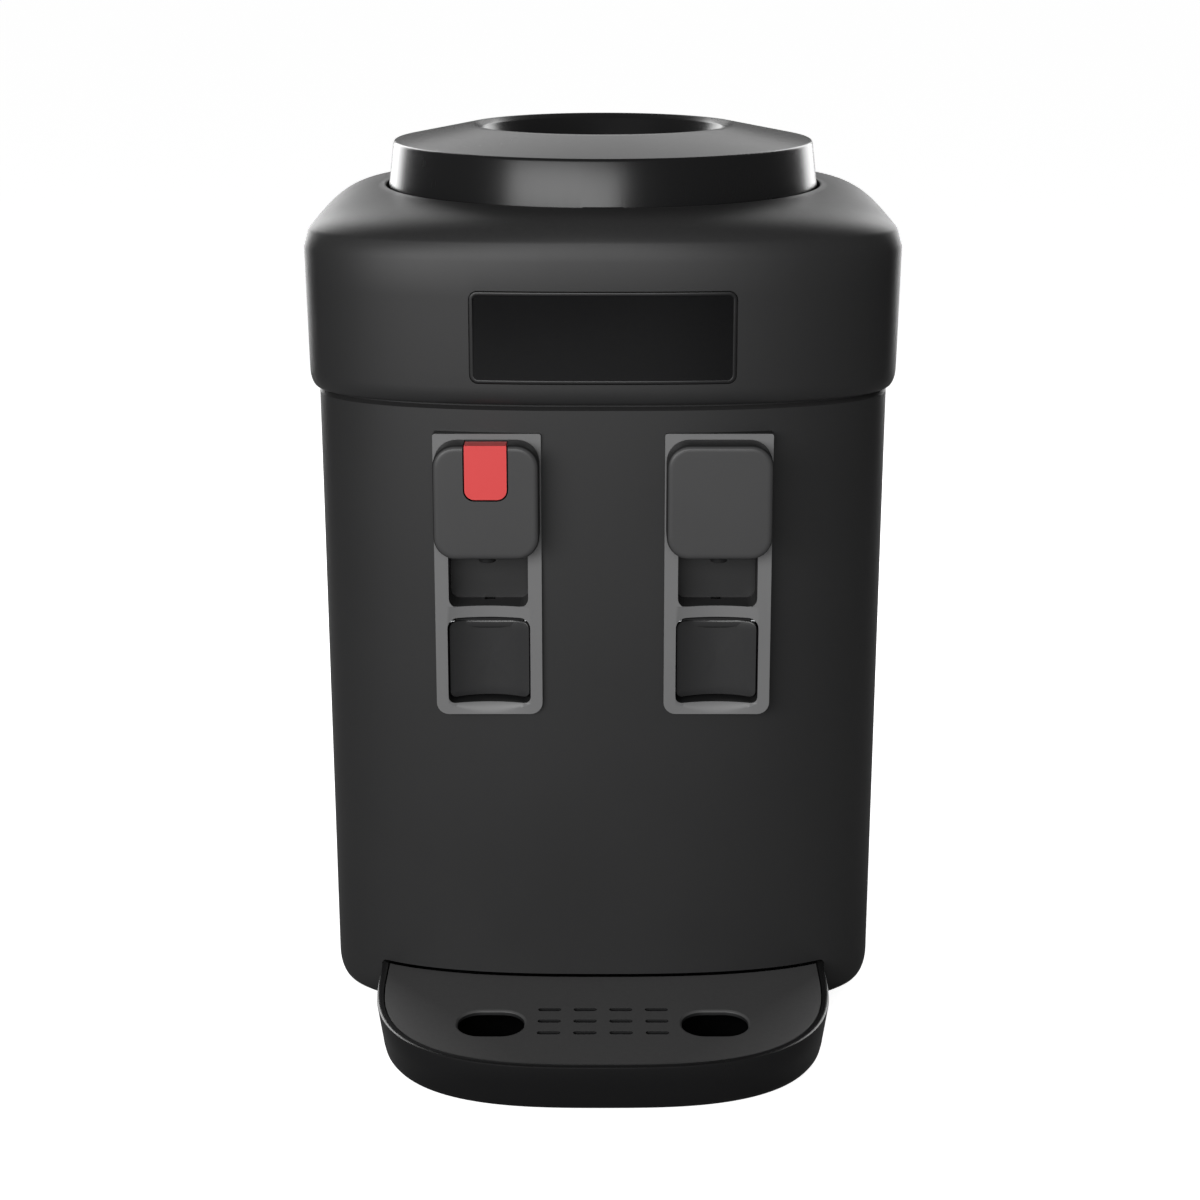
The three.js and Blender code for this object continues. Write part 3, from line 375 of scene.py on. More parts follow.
def fit(obj, body, nodes, finish, bevel=0.0, angle=38):
    """Sets a finished shape in the frame: metres, shading, finish, and the body that it rides on."""
    vertices = np.array([v.co for v in obj.data.vertices]) + np.array([0, AXIS_Y, 0])
    obj.data.vertices.foreach_set("co", (vertices * MM).astype(np.float32).ravel())
    obj.data.shade_smooth()
    if bevel:
        bevelled(obj, bevel * MM, angle)
    else:
        obj.data.set_sharp_from_angle(angle=math.radians(angle))
    obj.data.materials.clear()
    obj.data.materials.append(material(finish))
    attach(obj, body)
    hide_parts(*nodes)
    return obj


def second_finish(obj, finish, chosen):
    """Gives the faces of a fitted piece for which `chosen` holds a second finish."""
    obj.data.materials.append(material(finish))
    for face in obj.data.polygons:
        face.material_index = int(chosen(face))


def painted_shade_behind(obj, finish, depth):
    """Gives the faces of a fitted piece that lie behind a depth a second finish, a darker one that paints
    shade on them.
    """
    second_finish(obj, finish, lambda face: face.center.y > (depth + AXIS_Y) * MM)


def refine(node_name, finish, bevel=0.35):
    """Gives a frame node that stays its finish, rounded edges and smooth shading."""
    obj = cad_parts[node_name]
    obj.data.shade_smooth()
    obj.modifiers.new("Weld", "WELD").merge_threshold = 1e-6
    bevelled(obj, bevel * MM, 40)
    obj.data.materials.clear()
    obj.data.materials.append(material(finish))


# ---- Finishes ---------------------------------------------------------------------------------------

def feed(tree, value, socket):
    """Links a socket to another node's output, or sets it to a plain value."""
    if isinstance(value, bpy.types.NodeSocket):
        tree.links.new(value, socket)
    else:
        socket.default_value = value


SURFACE_OUTPUTS = (
    ("Colour", "NodeSocketColor"), ("Roughness", "NodeSocketFloat"), ("Height", "NodeSocketFloat"),
)
DUST_COLOUR = (0.55, 0.53, 0.5, 1)


def effect_group(name, inputs, outputs=SURFACE_OUTPUTS):
    """An empty node group with its sockets, and its input and output nodes."""
    tree = bpy.data.node_groups.new(name, "ShaderNodeTree")
    for label, kind, default in inputs:
        tree.interface.new_socket(label, in_out="INPUT", socket_type=kind).default_value = default
    for label, kind in outputs:
        tree.interface.new_socket(label, in_out="OUTPUT", socket_type=kind)
    return tree, tree.nodes.new("NodeGroupInput"), tree.nodes.new("NodeGroupOutput")


def math_node(tree, operation, first, second):
    made = tree.nodes.new("ShaderNodeMath")
    made.operation = operation
    feed(tree, first, made.inputs[0])
    feed(tree, second, made.inputs[1])
    return made.outputs[0]


def spread(tree, factor, low, high):
    """Spreads a factor between 0 and 1 over low to high, each a number or another node's output."""
    made = tree.nodes.new("ShaderNodeMapRange")
    for name, value in (("Value", factor), ("To Min", low), ("To Max", high)):
        feed(tree, value, made.inputs[name])
    return made.outputs[0]


def either_side(tree, centre, change):
    """A value less a change, and the value plus the change."""
    return math_node(tree, "SUBTRACT", centre, change), math_node(tree, "ADD", centre, change)


def noise(tree, coordinates, scale, detail):
    made = tree.nodes.new("ShaderNodeTexNoise")
    for name, value in (("Vector", coordinates), ("Scale", scale), ("Detail", detail)):
        feed(tree, value, made.inputs[name])
    return made.outputs["Fac"]


def stretched(tree, coordinates, scale):
    made = tree.nodes.new("ShaderNodeMapping")
    feed(tree, scale, made.inputs["Scale"])
    feed(tree, coordinates, made.inputs["Vector"])
    return made.outputs[0]


def object_place(tree):
    return tree.nodes.new("ShaderNodeTexCoord").outputs["Object"]


def tint(tree, given, made, factor, low, high):
    """Sends a group's colour to its output, with its value scaled from low to high by a factor."""
    shade = tree.nodes.new("ShaderNodeHueSaturation")
    feed(tree, given.outputs["Colour"], shade.inputs["Color"])
    feed(tree, spread(tree, factor, low, high), shade.inputs["Value"])
    feed(tree, shade.outputs[0], made.inputs["Colour"])


def moulded_group():
    """Spark-textured plastic: fine grain, slow changes of tone, and rubbed streaks."""
    tree, given, made = effect_group("Moulded plastic", [
        ("Colour", "NodeSocketColor", (0.05, 0.05, 0.05, 1)), ("Tone Change", "NodeSocketFloat", 0.1),
        ("Roughness", "NodeSocketFloat", 0.5), ("Roughness Change", "NodeSocketFloat", 0.08),
        ("Grain Scale", "NodeSocketFloat", 1400.0),
    ])
    place = object_place(tree)
    cloud = noise(tree, place, 14.0, 4.0)
    streak = noise(tree, stretched(tree, place, (260.0, 260.0, 9.0)), 1.0, 2.0)
    mixed = math_node(tree, "ADD", math_node(tree, "MULTIPLY", cloud, 0.7),
                      math_node(tree, "MULTIPLY", streak, 0.3))
    limits = either_side(tree, given.outputs["Roughness"], given.outputs["Roughness Change"])
    feed(tree, spread(tree, mixed, *limits), made.inputs["Roughness"])
    tint(tree, given, made, cloud, *either_side(tree, 1.0, given.outputs["Tone Change"]))
    feed(tree, noise(tree, place, given.outputs["Grain Scale"], 3.0), made.inputs["Height"])
    return tree


def brushed_group():
    """Metal drawn or brushed along one direction."""
    tree, given, made = effect_group("Brushed metal", [
        ("Colour", "NodeSocketColor", (0.5, 0.5, 0.5, 1)), ("Roughness", "NodeSocketFloat", 0.35),
        ("Along", "NodeSocketVector", (900.0, 900.0, 12.0)),
    ])
    place = object_place(tree)
    line = noise(tree, stretched(tree, place, given.outputs["Along"]), 1.0, 4.0)
    tint(tree, given, made, noise(tree, place, 22.0, 3.0), 0.86, 1.1)
    rough = math_node(tree, "ADD", math_node(tree, "MULTIPLY", line, 0.18), given.outputs["Roughness"])
    feed(tree, math_node(tree, "SUBTRACT", rough, 0.09), made.inputs["Roughness"])
    feed(tree, line, made.inputs["Height"])
    return tree


def cellular_group():
    """Rounded cells, for bead foam and zinc spangle."""
    tree, given, made = effect_group("Cells", [
        ("Colour", "NodeSocketColor", (0.8, 0.8, 0.8, 1)), ("Roughness", "NodeSocketFloat", 0.8),
        ("Cell Scale", "NodeSocketFloat", 260.0), ("Tone Change", "NodeSocketFloat", 0.12),
    ])
    cells = tree.nodes.new("ShaderNodeTexVoronoi")
    feed(tree, object_place(tree), cells.inputs["Vector"])
    feed(tree, given.outputs["Cell Scale"], cells.inputs["Scale"])
    cell_tone = tree.nodes.new("ShaderNodeSeparateColor")
    feed(tree, cells.outputs["Color"], cell_tone.inputs[0])
    tint(tree, given, made, cell_tone.outputs[0], *either_side(tree, 1.0, given.outputs["Tone Change"]))
    rough = spread(tree, cell_tone.outputs[1], 0.9, 1.1)
    feed(tree, math_node(tree, "MULTIPLY", rough, given.outputs["Roughness"]), made.inputs["Roughness"])
    feed(tree, cells.outputs["Distance"], made.inputs["Height"])
    return tree


def dust_group():
    """A thin film of dust that settles on what faces up."""
    tree, given, made = effect_group("Settled dust", [
        ("Colour", "NodeSocketColor", (0.05, 0.05, 0.05, 1)), ("Amount", "NodeSocketFloat", 0.02),
    ], SURFACE_OUTPUTS[:1])
    parts = tree.nodes.new("ShaderNodeSeparateXYZ")
    feed(tree, tree.nodes.new("ShaderNodeNewGeometry").outputs["Normal"], parts.inputs[0])
    up = math_node(tree, "MAXIMUM", parts.outputs["Z"], 0.0)
    speck = spread(tree, noise(tree, object_place(tree), 420.0, 5.0), 0.0, 2.0)
    film = math_node(tree, "MULTIPLY", math_node(tree, "MULTIPLY", up, speck), given.outputs["Amount"])
    mix = tree.nodes.new("ShaderNodeMix")
    mix.data_type = "RGBA"
    factor, clean, dusty = mix.inputs[0], mix.inputs[6], mix.inputs[7]
    feed(tree, film, factor)
    feed(tree, given.outputs["Colour"], clean)
    feed(tree, DUST_COLOUR, dusty)
    feed(tree, mix.outputs[2], made.inputs["Colour"])
    return tree


GROUP_MAKERS = {
    "moulded": moulded_group, "brushed": brushed_group, "cells": cellular_group, "dust": dust_group,
}
GROUPS = {}
MATERIALS = {}


def moulded(roughness, roughness_change, tone_change, grain, bump, depth, coat=0, metallic=0):
    values = {"Tone Change": tone_change, "Roughness Change": roughness_change, "Grain Scale": grain}
    return "moulded", roughness, metallic, coat, bump, depth, values


# For each finish: effect group, roughness, metallic, coat, bump strength, bump depth in millimetres, and the
# other values of its group
FINISHES = {
    "housing": moulded(0.46, 0.05, 0.06, 1500.0, 0.22, 0.05),
    "gloss": moulded(0.26, 0.05, 0.05, 300.0, 0.03, 0.02),
    "bezel": moulded(0.35, 0.05, 0.05, 900.0, 0.1, 0.03),
    "badge": moulded(0.14, 0.03, 0.04, 260.0, 0.02, 0.02),
    "grille": moulded(0.5, 0.05, 0.07, 1300.0, 0.3, 0.05),
    "tap": moulded(0.42, 0.05, 0.05, 1600.0, 0.2, 0.04),
    # recess: painted shade on the tap frames' inner walls and on the tap covers' sides and top.
    "recess": moulded(0.45, 0.05, 0.05, 1600.0, 0.2, 0.04),
    "cover": moulded(0.4, 0.05, 0.05, 1600.0, 0.2, 0.04),
    "paddle": moulded(0.26, 0.07, 0.06, 900.0, 0.15, 0.04),
    "lock": moulded(0.4, 0.05, 0.04, 1400.0, 0.15, 0.04),
    "green": moulded(0.3, 0.05, 0.05, 900.0, 0.1, 0.03, coat=0.2),
    "rubber": moulded(0.82, 0.08, 0.2, 700.0, 0.5, 0.08),
    "black": moulded(0.55, 0.08, 0.12, 800.0, 0.3, 0.05),
    "tank": moulded(0.38, 0.08, 0.05, 260.0, 0.2, 0.06),
    "ceramic": moulded(0.6, 0.08, 0.06, 500.0, 0.3, 0.05),
    "silicone": moulded(0.3, 0.06, 0.06, 180.0, 0.15, 0.05),
    "board": moulded(0.45, 0.1, 0.25, 240.0, 0.3, 0.06, coat=0.3),
    "mica": moulded(0.6, 0.12, 0.3, 160.0, 0.4, 0.08, metallic=0.2),
    "foam": ("cells", 0.9, 0, 0, 0.5, 0.4, {"Cell Scale": 300.0, "Tone Change": 0.05}),
    "zinc": ("cells", 0.42, 0.9, 0, 0.05, 0.05, {"Cell Scale": 95.0, "Tone Change": 0.16}),
    "steel": ("brushed", 0.3, 1, 0, 0.12, 0.03, {"Along": (900.0, 900.0, 14.0)}),
    "aluminium": ("brushed", 0.36, 1, 0, 0.15, 0.03, {"Along": (900.0, 900.0, 20.0)}),
}
DUST_AMOUNTS = {"housing": 0.012, "grille": 0.02, "gloss": 0.004, "rubber": 0.03, "black": 0.02}


def group(kind):
    if kind not in GROUPS:
        GROUPS[kind] = GROUP_MAKERS[kind]()
    return GROUPS[kind]


def material(name):
    """One finish, built once: a Principled surface fed by its effect group."""
    if name in MATERIALS:
        return MATERIALS[name]
    kind, roughness, metallic, coat, strength, depth, values = FINISHES[name]
    made = bpy.data.materials.new(name.title() + " finish")
    made.use_nodes = True
    tree = made.node_tree
    surface = tree.nodes["Principled BSDF"]
    surface.inputs["Metallic"].default_value = metallic
    surface.inputs["Coat Weight"].default_value = coat
    surface.inputs["Coat Roughness"].default_value = 0.06
    effect = tree.nodes.new("ShaderNodeGroup")
    effect.node_tree = group(kind)
    colour = (*getattr(bpy.context.scene.dispenser_finishes, name), 1)
    for label, value in {"Colour": colour, "Roughness": roughness, **values}.items():
        effect.inputs[label].default_value = value
    tinted = effect.outputs["Colour"]
    if name in DUST_AMOUNTS:
        dust = tree.nodes.new("ShaderNodeGroup")
        dust.node_tree = group("dust")
        dust.inputs["Amount"].default_value = DUST_AMOUNTS[name]
        feed(tree, tinted, dust.inputs["Colour"])
        tinted = dust.outputs["Colour"]
    bump = tree.nodes.new("ShaderNodeBump")
    bump.inputs["Strength"].default_value = strength
    bump.inputs["Distance"].default_value = depth * MM
    feed(tree, effect.outputs["Height"], bump.inputs["Height"])
    feed(tree, tinted, surface.inputs["Base Color"])
    feed(tree, effect.outputs["Roughness"], surface.inputs["Roughness"])
    feed(tree, bump.outputs["Normal"], surface.inputs["Normal"])
    MATERIALS[name] = made
    return made


# ---- Settings ---------------------------------------------------------------------------------------

def colour_setting(label, value):
    return FloatVectorProperty(name=label, description=f"Colour of the {label.lower()}", subtype="COLOR",
                               size=3, min=0, max=1, default=value)


class DispenserFinishes(bpy.types.PropertyGroup):
    """Colours of the dispenser's plastics, rubber and metal, and of the painted shade in the tap recesses and
    on the grille's hole walls.
    """
    housing: colour_setting("Housing", (0.027, 0.027, 0.0275))
    gloss: colour_setting("Collar and tray", (0.009, 0.009, 0.0094))
    bezel: colour_setting("Badge bezel", (0.012, 0.012, 0.0125))
    badge: colour_setting("Badge plate", (0.004, 0.004, 0.0045))
    grille: colour_setting("Tray grille", (0.088, 0.088, 0.0885))
    tap: colour_setting("Tap frame", (0.215, 0.215, 0.217))
    recess: colour_setting("Tap recess painted shade", (0.025, 0.025, 0.0255))
    # Painted shade on the tap frames' inner walls and the tap covers' sides and top.
    cover: colour_setting("Tap cover", (0.068, 0.068, 0.069))
    paddle: colour_setting("Cup paddle", (0.04, 0.04, 0.041))
    lock: colour_setting("Child lock and heat switch", (0.95, 0.085, 0.085))
    green: colour_setting("Cooling switch", (0.03, 0.22, 0.07))
    rubber: colour_setting("Rubber feet", (0.012, 0.012, 0.012))
    # Also the painted shade on the walls of the grille's finger holes and slots.
    black: colour_setting("Inner black plastic and grille hole shade", (0.012, 0.012, 0.0125))
    tank: colour_setting("Tank plastic", (0.74, 0.76, 0.78))
    ceramic: colour_setting("Ceramic", (0.82, 0.81, 0.76))
    silicone: colour_setting("Silicone tube", (0.62, 0.67, 0.69))
    board: colour_setting("Circuit board", (0.015, 0.11, 0.04))
    mica: colour_setting("Heater mica", (0.3, 0.3, 0.27))
    foam: colour_setting("Bead foam", (0.85, 0.85, 0.82))
    zinc: colour_setting("Zinc sheet", (0.4, 0.42, 0.44))
    steel: colour_setting("Stainless steel", (0.55, 0.56, 0.57))
    aluminium: colour_setting("Aluminium", (0.6, 0.61, 0.63))


class DispenserSizes(bpy.types.PropertyGroup):
    """Sizes that shape the visible pieces."""
    head_edge: FloatProperty(name="Head lower edge", description="Height of the head's rounded lower edge",
                             default=0.009, min=0.002, max=0.02, unit="LENGTH")
    body_edge: FloatProperty(name="Body lower edge", description="Height of the body's rounded lower edge",
                             default=0.013, min=0.003, max=0.02, unit="LENGTH")
    dome_crease: FloatProperty(name="Dome crease", description="Slope at which the dome's curve starts",
                               default=math.radians(17), min=0, max=math.radians(30), subtype="ANGLE")
    collar_edge: FloatProperty(name="Collar edge", description="Radius between the collar's cone and wall",
                               default=0.0016, min=0.0003, max=0.004, unit="LENGTH")
    cover_edge: FloatProperty(name="Cover edge", description="Radius of the front edge of the tap covers",
                              default=0.0024, min=0.0005, max=0.005, unit="LENGTH")
    guide_depth: FloatProperty(name="Cup guide", description="How far the tap frame's bars curve in",
                               default=0.0035, min=0, max=0.006, unit="LENGTH")
    dome_steps: IntProperty(name="Dome rings", description="Rings in the dome of the head",
                            default=18, min=4, max=40)


class DispenserStage(bpy.types.PropertyGroup):
    """The camera and the studio lights."""
    distance: FloatProperty(name="Camera distance", description="From the bottle axis to the camera's foot",
                            default=1.1639, min=0.5, max=4, unit="LENGTH")
    height: FloatProperty(name="Camera height", description="Height of the camera above the floor",
                          default=0.5428, min=0, max=2, unit="LENGTH")
    pitch: FloatProperty(name="Camera pitch", description="How far the camera looks down",
                         default=math.radians(13.379), min=0, max=1.2, subtype="ANGLE")
    lens: FloatProperty(name="Lens", description="Focal length of the camera in millimetres",
                        default=65.906, min=20, max=200)
    rim: FloatProperty(name="Side lights", description="Power of each side light in watts",
                       default=8.5, min=0, max=200)
    back: FloatProperty(name="Back light", description="Power of the light above and behind, in watts",
                        default=5, min=0, max=200)
    key: FloatProperty(name="Key light", description="Power of the broad front left light in watts",
                       default=33, min=0, max=200)


class DispenserOperator:
    """What every building operator shares."""
    bl_options = {"REGISTER", "UNDO"}

    def execute(self, context):
        self.build(context.scene.dispenser_sizes)
        return {"FINISHED"}


# ---- Housing ----------------------------------------------------------------------------------------

class DISPENSER_OT_head(DispenserOperator, bpy.types.Operator):
    """Builds the domed head with the seat for the collar and the pocket for the badge"""
    bl_idname = "dispenser.head"
    bl_label = "Head housing"

    def build(self, sizes):
        lip = SEAT_RADIUS + 1.4
        edge = sizes.head_edge / MM
        wall_bottom, top, fullness = 340, math.radians(77), 0.82
        rows = [housing_row(HEAD, 1.2 + 3.6 * (1 - math.sin(t)), HEAD_BOTTOM + edge * (1 - math.cos(t)))
                for t in np.radians(np.linspace(0, 90, 8))]
        rows += [housing_row(HEAD, 1.0 * (1 - share), wall_bottom + (DOME_BASE - wall_bottom) * share)
                 for share in (0, 0.34, 0.67, 1)]
        for turn in np.linspace(sizes.dome_crease, top, sizes.dome_steps):
            inward = (1 - math.cos(turn) ** fullness) / (1 - math.cos(top) ** fullness)
            rise = (math.sin(turn) / math.sin(top)) ** fullness
            rows.append(housing_row(HEAD, 0, DOME_BASE + (DOME_TOP - DOME_BASE) * rise, lip, inward))
        seat = fillet([(lip - 0.2, 415.1, 0), (SEAT_RADIUS, 415.1, 0.7), (SEAT_RADIUS, SEAT_FLOOR, 0.6),
                       (97, SEAT_FLOOR, 0.8), (97, 406, 0.3), (110, 406, 0)], 3)
        rows += [ring(np.full(len(ANGLES), r), z) for r, z in seat]
        rows += [housing_row(HEAD, *level) for level in ((WALL, 388), (4.2, 331), (6.4, HEAD_BOTTOM))]
        head = stacked("head_housing", rows, closed=True)
        low, high = span("name_badge")
        play, pocket_floor = 0.6, -134.6
        pocket = rounded(high[0] - low[0] + play, high[2] - low[2] + play, 4.3, (0, (low[2] + high[2]) / 2))
        cut(head, prism("pocket", pocket, -160, pocket_floor, "y"))
        fit(head, "cabinet", ["head_shell"], "housing", angle=30)


class DISPENSER_OT_body(DispenserOperator, bpy.types.Operator):
    """Builds the moulded tub with its tray mouth, tap openings and rear recess"""
    bl_idname = "dispenser.body"
    bl_label = "Body housing"

    def build(self, sizes):
        edge = sizes.body_edge / MM
        draft, bottom, top, upright = 1.75, 3, 320, 302    # the wall leans in by `draft` over `upright`
        rows = [housing_row(BODY, draft + 5.4 * (1 - math.sin(t)), bottom + edge * (1 - math.cos(t)))
                for t in np.radians(np.linspace(0, 90, 9))]
        rows += [housing_row(BODY, draft * (top - z) / upright, z) for z in (40, 90, 150, 210, 270, top)]
        rows += [housing_row(BODY, *level)
                 for level in ((2.6, 321.5), (2.6, 330), (5.6, 330), (4.8, 16), (10.4, bottom))]
        body = stacked("body_housing", rows, closed=True)
        middle_of_panel = (0, PANEL_Z)
        lip_size, recess_size, opening_size = (215, 295), (208, 288), (196, 276)
        join(body, prism("lip", rounded(*lip_size, 6, middle_of_panel), 111.2, 121.8, "y"))
        recess = rounded(*recess_size, 4, middle_of_panel)
        opening = rounded(*opening_size, 4, middle_of_panel)
        mouth = rounded(229.2, 60, 2.5, (0, -4.8))
        tap_x = middle("cold_tap_frame")[0]
        holes = [prism("hole", rounded(45.4, 138, 3, (side * tap_x, TAP_OPENING_Z)), -150, -100, "y")
                 for side in TAP_SIDES.values()]
        cut(body, prism("recess", recess, 113.7, 122.2, "y"),
            prism("chamfer", recess, 122.1, 128, "y", taper=rounded(*lip_size, 7, middle_of_panel)),
            prism("opening", opening, 100, 120, "y"), prism("mouth", mouth, -150, -92, "y"), *holes)
        fit(body, "cabinet", ["body_shell"], "housing", angle=30)


class DISPENSER_OT_badge(DispenserOperator, bpy.types.Operator):
    """Builds the blank badge plate: a narrow raised bezel round a polished panel"""
    bl_idname = "dispenser.badge"
    bl_label = "Badge plate"

    def build(self, sizes):
        low, high = span("name_badge")
        width, height = high[0] - low[0], high[2] - low[2]
        centre_z = (low[2] + high[2]) / 2
        bezel, lean, lean_bottom = 1.5, 1.2, 329.5    # the head's front leans back by `lean` up to the dome

        def loop(inward, proud):
            radius = max(4 - inward, 0.3)
            x, z = rounded(width - 2 * inward, height - 2 * inward, radius, (0, centre_z), 6, 22).T
            inset = lean * (DOME_BASE - z) / (DOME_BASE - lean_bottom)
            return np.column_stack([x, front_of(HEAD, x, inset) - proud, z])

        section = [(0, -1.3), (0, 0.1), (0.12, 0.34), (0.4, 0.45), (bezel, 0.45), (1.8, 0.34), (1.95, 0.05),
                   (2.05, -1.3)]
        badge = stacked("badge_plate", [loop(*pair) for pair in section], closed=True)
        bezel_faces = len(badge.data.polygons)
        rows = []
        for x in np.linspace(bezel - width / 2, width / 2 - bezel, 61):
            front = front_of(HEAD, np.array([x, x]), 0.7)[0]
            reach = height / 2 - bezel
            rows.append(np.array([(x, front, centre_z - reach), (x, front, centre_z + reach),
                                  (x, front + 1, centre_z + reach), (x, front + 1, centre_z - reach)]))
        gather(badge, stacked("panel", rows))
        fit(badge, "cabinet", ["name_badge"], "bezel", angle=50)
        second_finish(badge, "badge", lambda face: face.index >= bezel_faces)


class DISPENSER_OT_collar(DispenserOperator, bpy.types.Operator):
    """Builds the lift-off bottle collar: sloping wall, cone, rounded crest, funnel and throat"""
    bl_idname = "dispenser.collar"
    bl_label = "Bottle collar"

    def build(self, sizes):
        throat = [(29, 352, 1), (32, 352, 1), (33.5, 383, 5)]
        underside = [(58, 407, 6), (63, 434.6, 2), (105, 434, 2), (109.8, 409.3, 0.5)]
        wall = [(113.2, 409.3, 0.9), (110, 436.4, 0), (109.4, 437.8, sizes.collar_edge / MM)]
        crest = [(71, 445.6, 3), (68, 446, 1.6), (65, 443.6, 1.6)]
        funnel = [(59.5, 430, 8), (55, 409, 6), (30, 384.5, 8)]
        collar = turned("bottle_collar_ring", fillet(throat + underside + wall + crest + funnel, 6), 240)
        cut(collar, prism("notch", rounded(21, 6, 1.2, (0, SEAT_FLOOR + 3.2)), -120, -100, "y"))
        fit(collar, "collar", ["bottle_collar"], "gloss", angle=34)


# ---- Taps -------------------------------------------------------------------------------------------

class DISPENSER_OT_taps(DispenserOperator, bpy.types.Operator):
    """Builds both cup-push taps: frame, valve, cover, paddle, pin, stem and springs"""
    bl_idname = "dispenser.taps"
    bl_label = "Taps"

    def build(self, sizes):
        for label in TAP_SIDES:
            x = middle(f"{label}_tap_frame")[0]
            self.frame(label, x, sizes.guide_depth / MM)
            self.valve(label, x)
            self.cover(label, x, sizes.cover_edge / MM)
            self.paddle(label, x)
            refine(f"{label}_stem", "ceramic", 0.15)
            refine(f"{label}_paddle_pin", "steel", 0.15)
            spring, joint = f"{label}_stem_spring", f"{label}_stem_travel"
            coil(f"{label}_return_spring", spring, 0.5, 5)
        self.lock_tab(middle("child_lock_tab")[0])
        coil("child_lock_return_spring", "child_lock_spring", 0.4, 4)

    def frame(self, label, x, guide):
        low, high = span(f"{label}_tap_frame")
        width, bottom, top = high[0] - low[0], low[2], high[2]
        plate = fillet([(x - width / 2, bottom, 6), (x + width / 2, bottom, 6), (x + width / 2, top, 1.2),
                        (x - width / 2, top, 1.2)], 6)
        shape = prism(f"{label}_tap_frame_plate", plate, TAP_FACE, -122, "y")
        join(shape, prism("sleeve", rounded(44.6, 137.2, 3, (x, TAP_OPENING_Z)), -123, -112, "y"))
        upper_bottom, upper_top, upper_half = 221.9, 303.4, 19.4
        lower_bottom, lower_top, lower_half = 172.3, 216.2, 20.3
        upper = fillet([(x - upper_half, upper_bottom, 4.5), (x + upper_half, upper_bottom, 4.5),
                        (x + upper_half, upper_top, 3), (x - upper_half, upper_top, 3)], 6)
        lower = fillet([(x - lower_half, lower_bottom, 3.5), (x + lower_half, lower_bottom, 3.5),
                        (x + lower_half, lower_top, 5), (x - lower_half, lower_top, 5)], 6)
        radius = (lower_half ** 2 + guide ** 2) / (2 * guide)
        guide_bottom, guide_top = 167.2, 222.3
        cup = [(0, guide_bottom), (radius - guide, guide_bottom), (radius, lower_bottom), (radius, guide_top),
               (0, guide_top)]
        hollow = turned("hollow", cup, 220, "z", (x, TAP_FACE - radius + guide, 0))
        cut(shape, hollow, prism("upper", upper, -140, -118, "y"), prism("lower", lower, -140, -100, "y"),
            prism("lever slot", rounded(8, 32, 2, (x, 206)), -121, -100, "y"))
        fit(shape, "cabinet", [f"{label}_tap_frame"], "tap", bevel=0.45)
        # The frame's walls behind its front get the dark recess finish: painted shade inside the tap recess.
        painted_shade_behind(shape, "recess", TAP_FACE + guide + 0.2)

    def valve(self, label, x):
        high = span(f"{label}_valve_body")[1]
        stem_z = middle(f"{label}_stem")[2]
        on_stem, on_nozzle, on_inlet = (x, 0, stem_z), (x, NOZZLE_Y, 0), (x, 0, INLET_Z)
        nozzle = fillet([(0, 246.9, 0), (3.9, 246.9, 0.5), (5.4, 254, 1), (5.4, 266, 0), (0, 266, 0)], 4)
        barrel = fillet([(0, -145.5, 0), (9, -145.5, 1.6), (9, -115.6, 0.5), (0, -115.6, 0)], 4)
        shape = turned(f"{label}_valve", barrel, 40, "y", on_stem)
        join(shape, turned("nozzle", nozzle, 32, "z", on_nozzle),
             rod("riser", 4.6, 262, high[2], 28, "z", (x, -130, 0)),
             rod("inlet", 4.4, -131, high[1], 28, "y", on_inlet),
             block("seat", (x - 7, -133.5, 283), (x + 7, -130, 300)))
        cut(shape, rod("pocket", 6.5, -128, -100, 28, "y", on_stem),
            rod("guide", 2.9, -142, -120, 20, "y", on_stem),
            rod("outlet", 2.3, 240, stem_z, 20, "z", on_nozzle),
            rod("bore", 2.6, -131, -80, 20, "y", on_inlet))
        fit(shape, "cabinet", [f"{label}_valve_body"], "black", bevel=0.25)

    def cover(self, label, x, edge):
        low, high = span(f"{label}_tap_cover")
        width, height, centre = high[0] - low[0], high[2] - low[2], (x, (low[2] + high[2]) / 2)
        back, face = high[1], low[1]

        def loop(inward, y):
            outline = rounded(width - 2 * inward, height - 2 * inward, max(11 - inward, 0.5), centre, 9, 5)
            return np.column_stack([outline[:, 0], np.full(len(outline), y), outline[:, 1]])

        core, wall, front_wall = width * 0.45, 2.2, 2.2
        inner = [(core, face + front_wall), (4, face + front_wall), (2.7, face + 2.6), (wall, face + 4)]
        rim = [(wall, back - 0.3), (1.9, back), (0.4, back), (0, back - 0.4)]
        front = [(edge * (1 - math.cos(t)), face + edge * (1 - math.sin(t)))
                 for t in np.radians(np.linspace(0, 84, 7))]
        crown = [(inward, face) for inward in (3.2, 8, 14, 20, core)]
        shape = stacked(f"{label}_cover", [loop(*level) for level in inner + rim + front + crown])
        tools = [rod("nozzle hole", 6, 240, 256, 32, "z", (x, NOZZLE_Y, 0))]
        if label == "hot":
            tab_low, tab_high = span("child_lock_tab")
            left, right, over_top = tab_low[0] - 0.7, tab_high[0] + 0.7, 330
            slot = fillet([(left, tab_low[2] - 0.8, 5.4), (right, tab_low[2] - 0.8, 5.4),
                           (right, over_top, 0), (left, over_top, 0)], 6)
            top_slot = ((tab_low[0] - 0.45, -148, high[2] - 3), (tab_high[0] + 0.45, -136.6, over_top))
            tools += [prism("slot", slot, -155, -146.6, "y"), block("top slot", *top_slot)]
        cut(shape, *tools)
        fit(shape, "cabinet", [f"{label}_tap_cover"], "cover", angle=32)
        # The cover's sides, top and back get the dark recess finish: painted shade.
        painted_shade_behind(shape, "recess", face + 0.9)

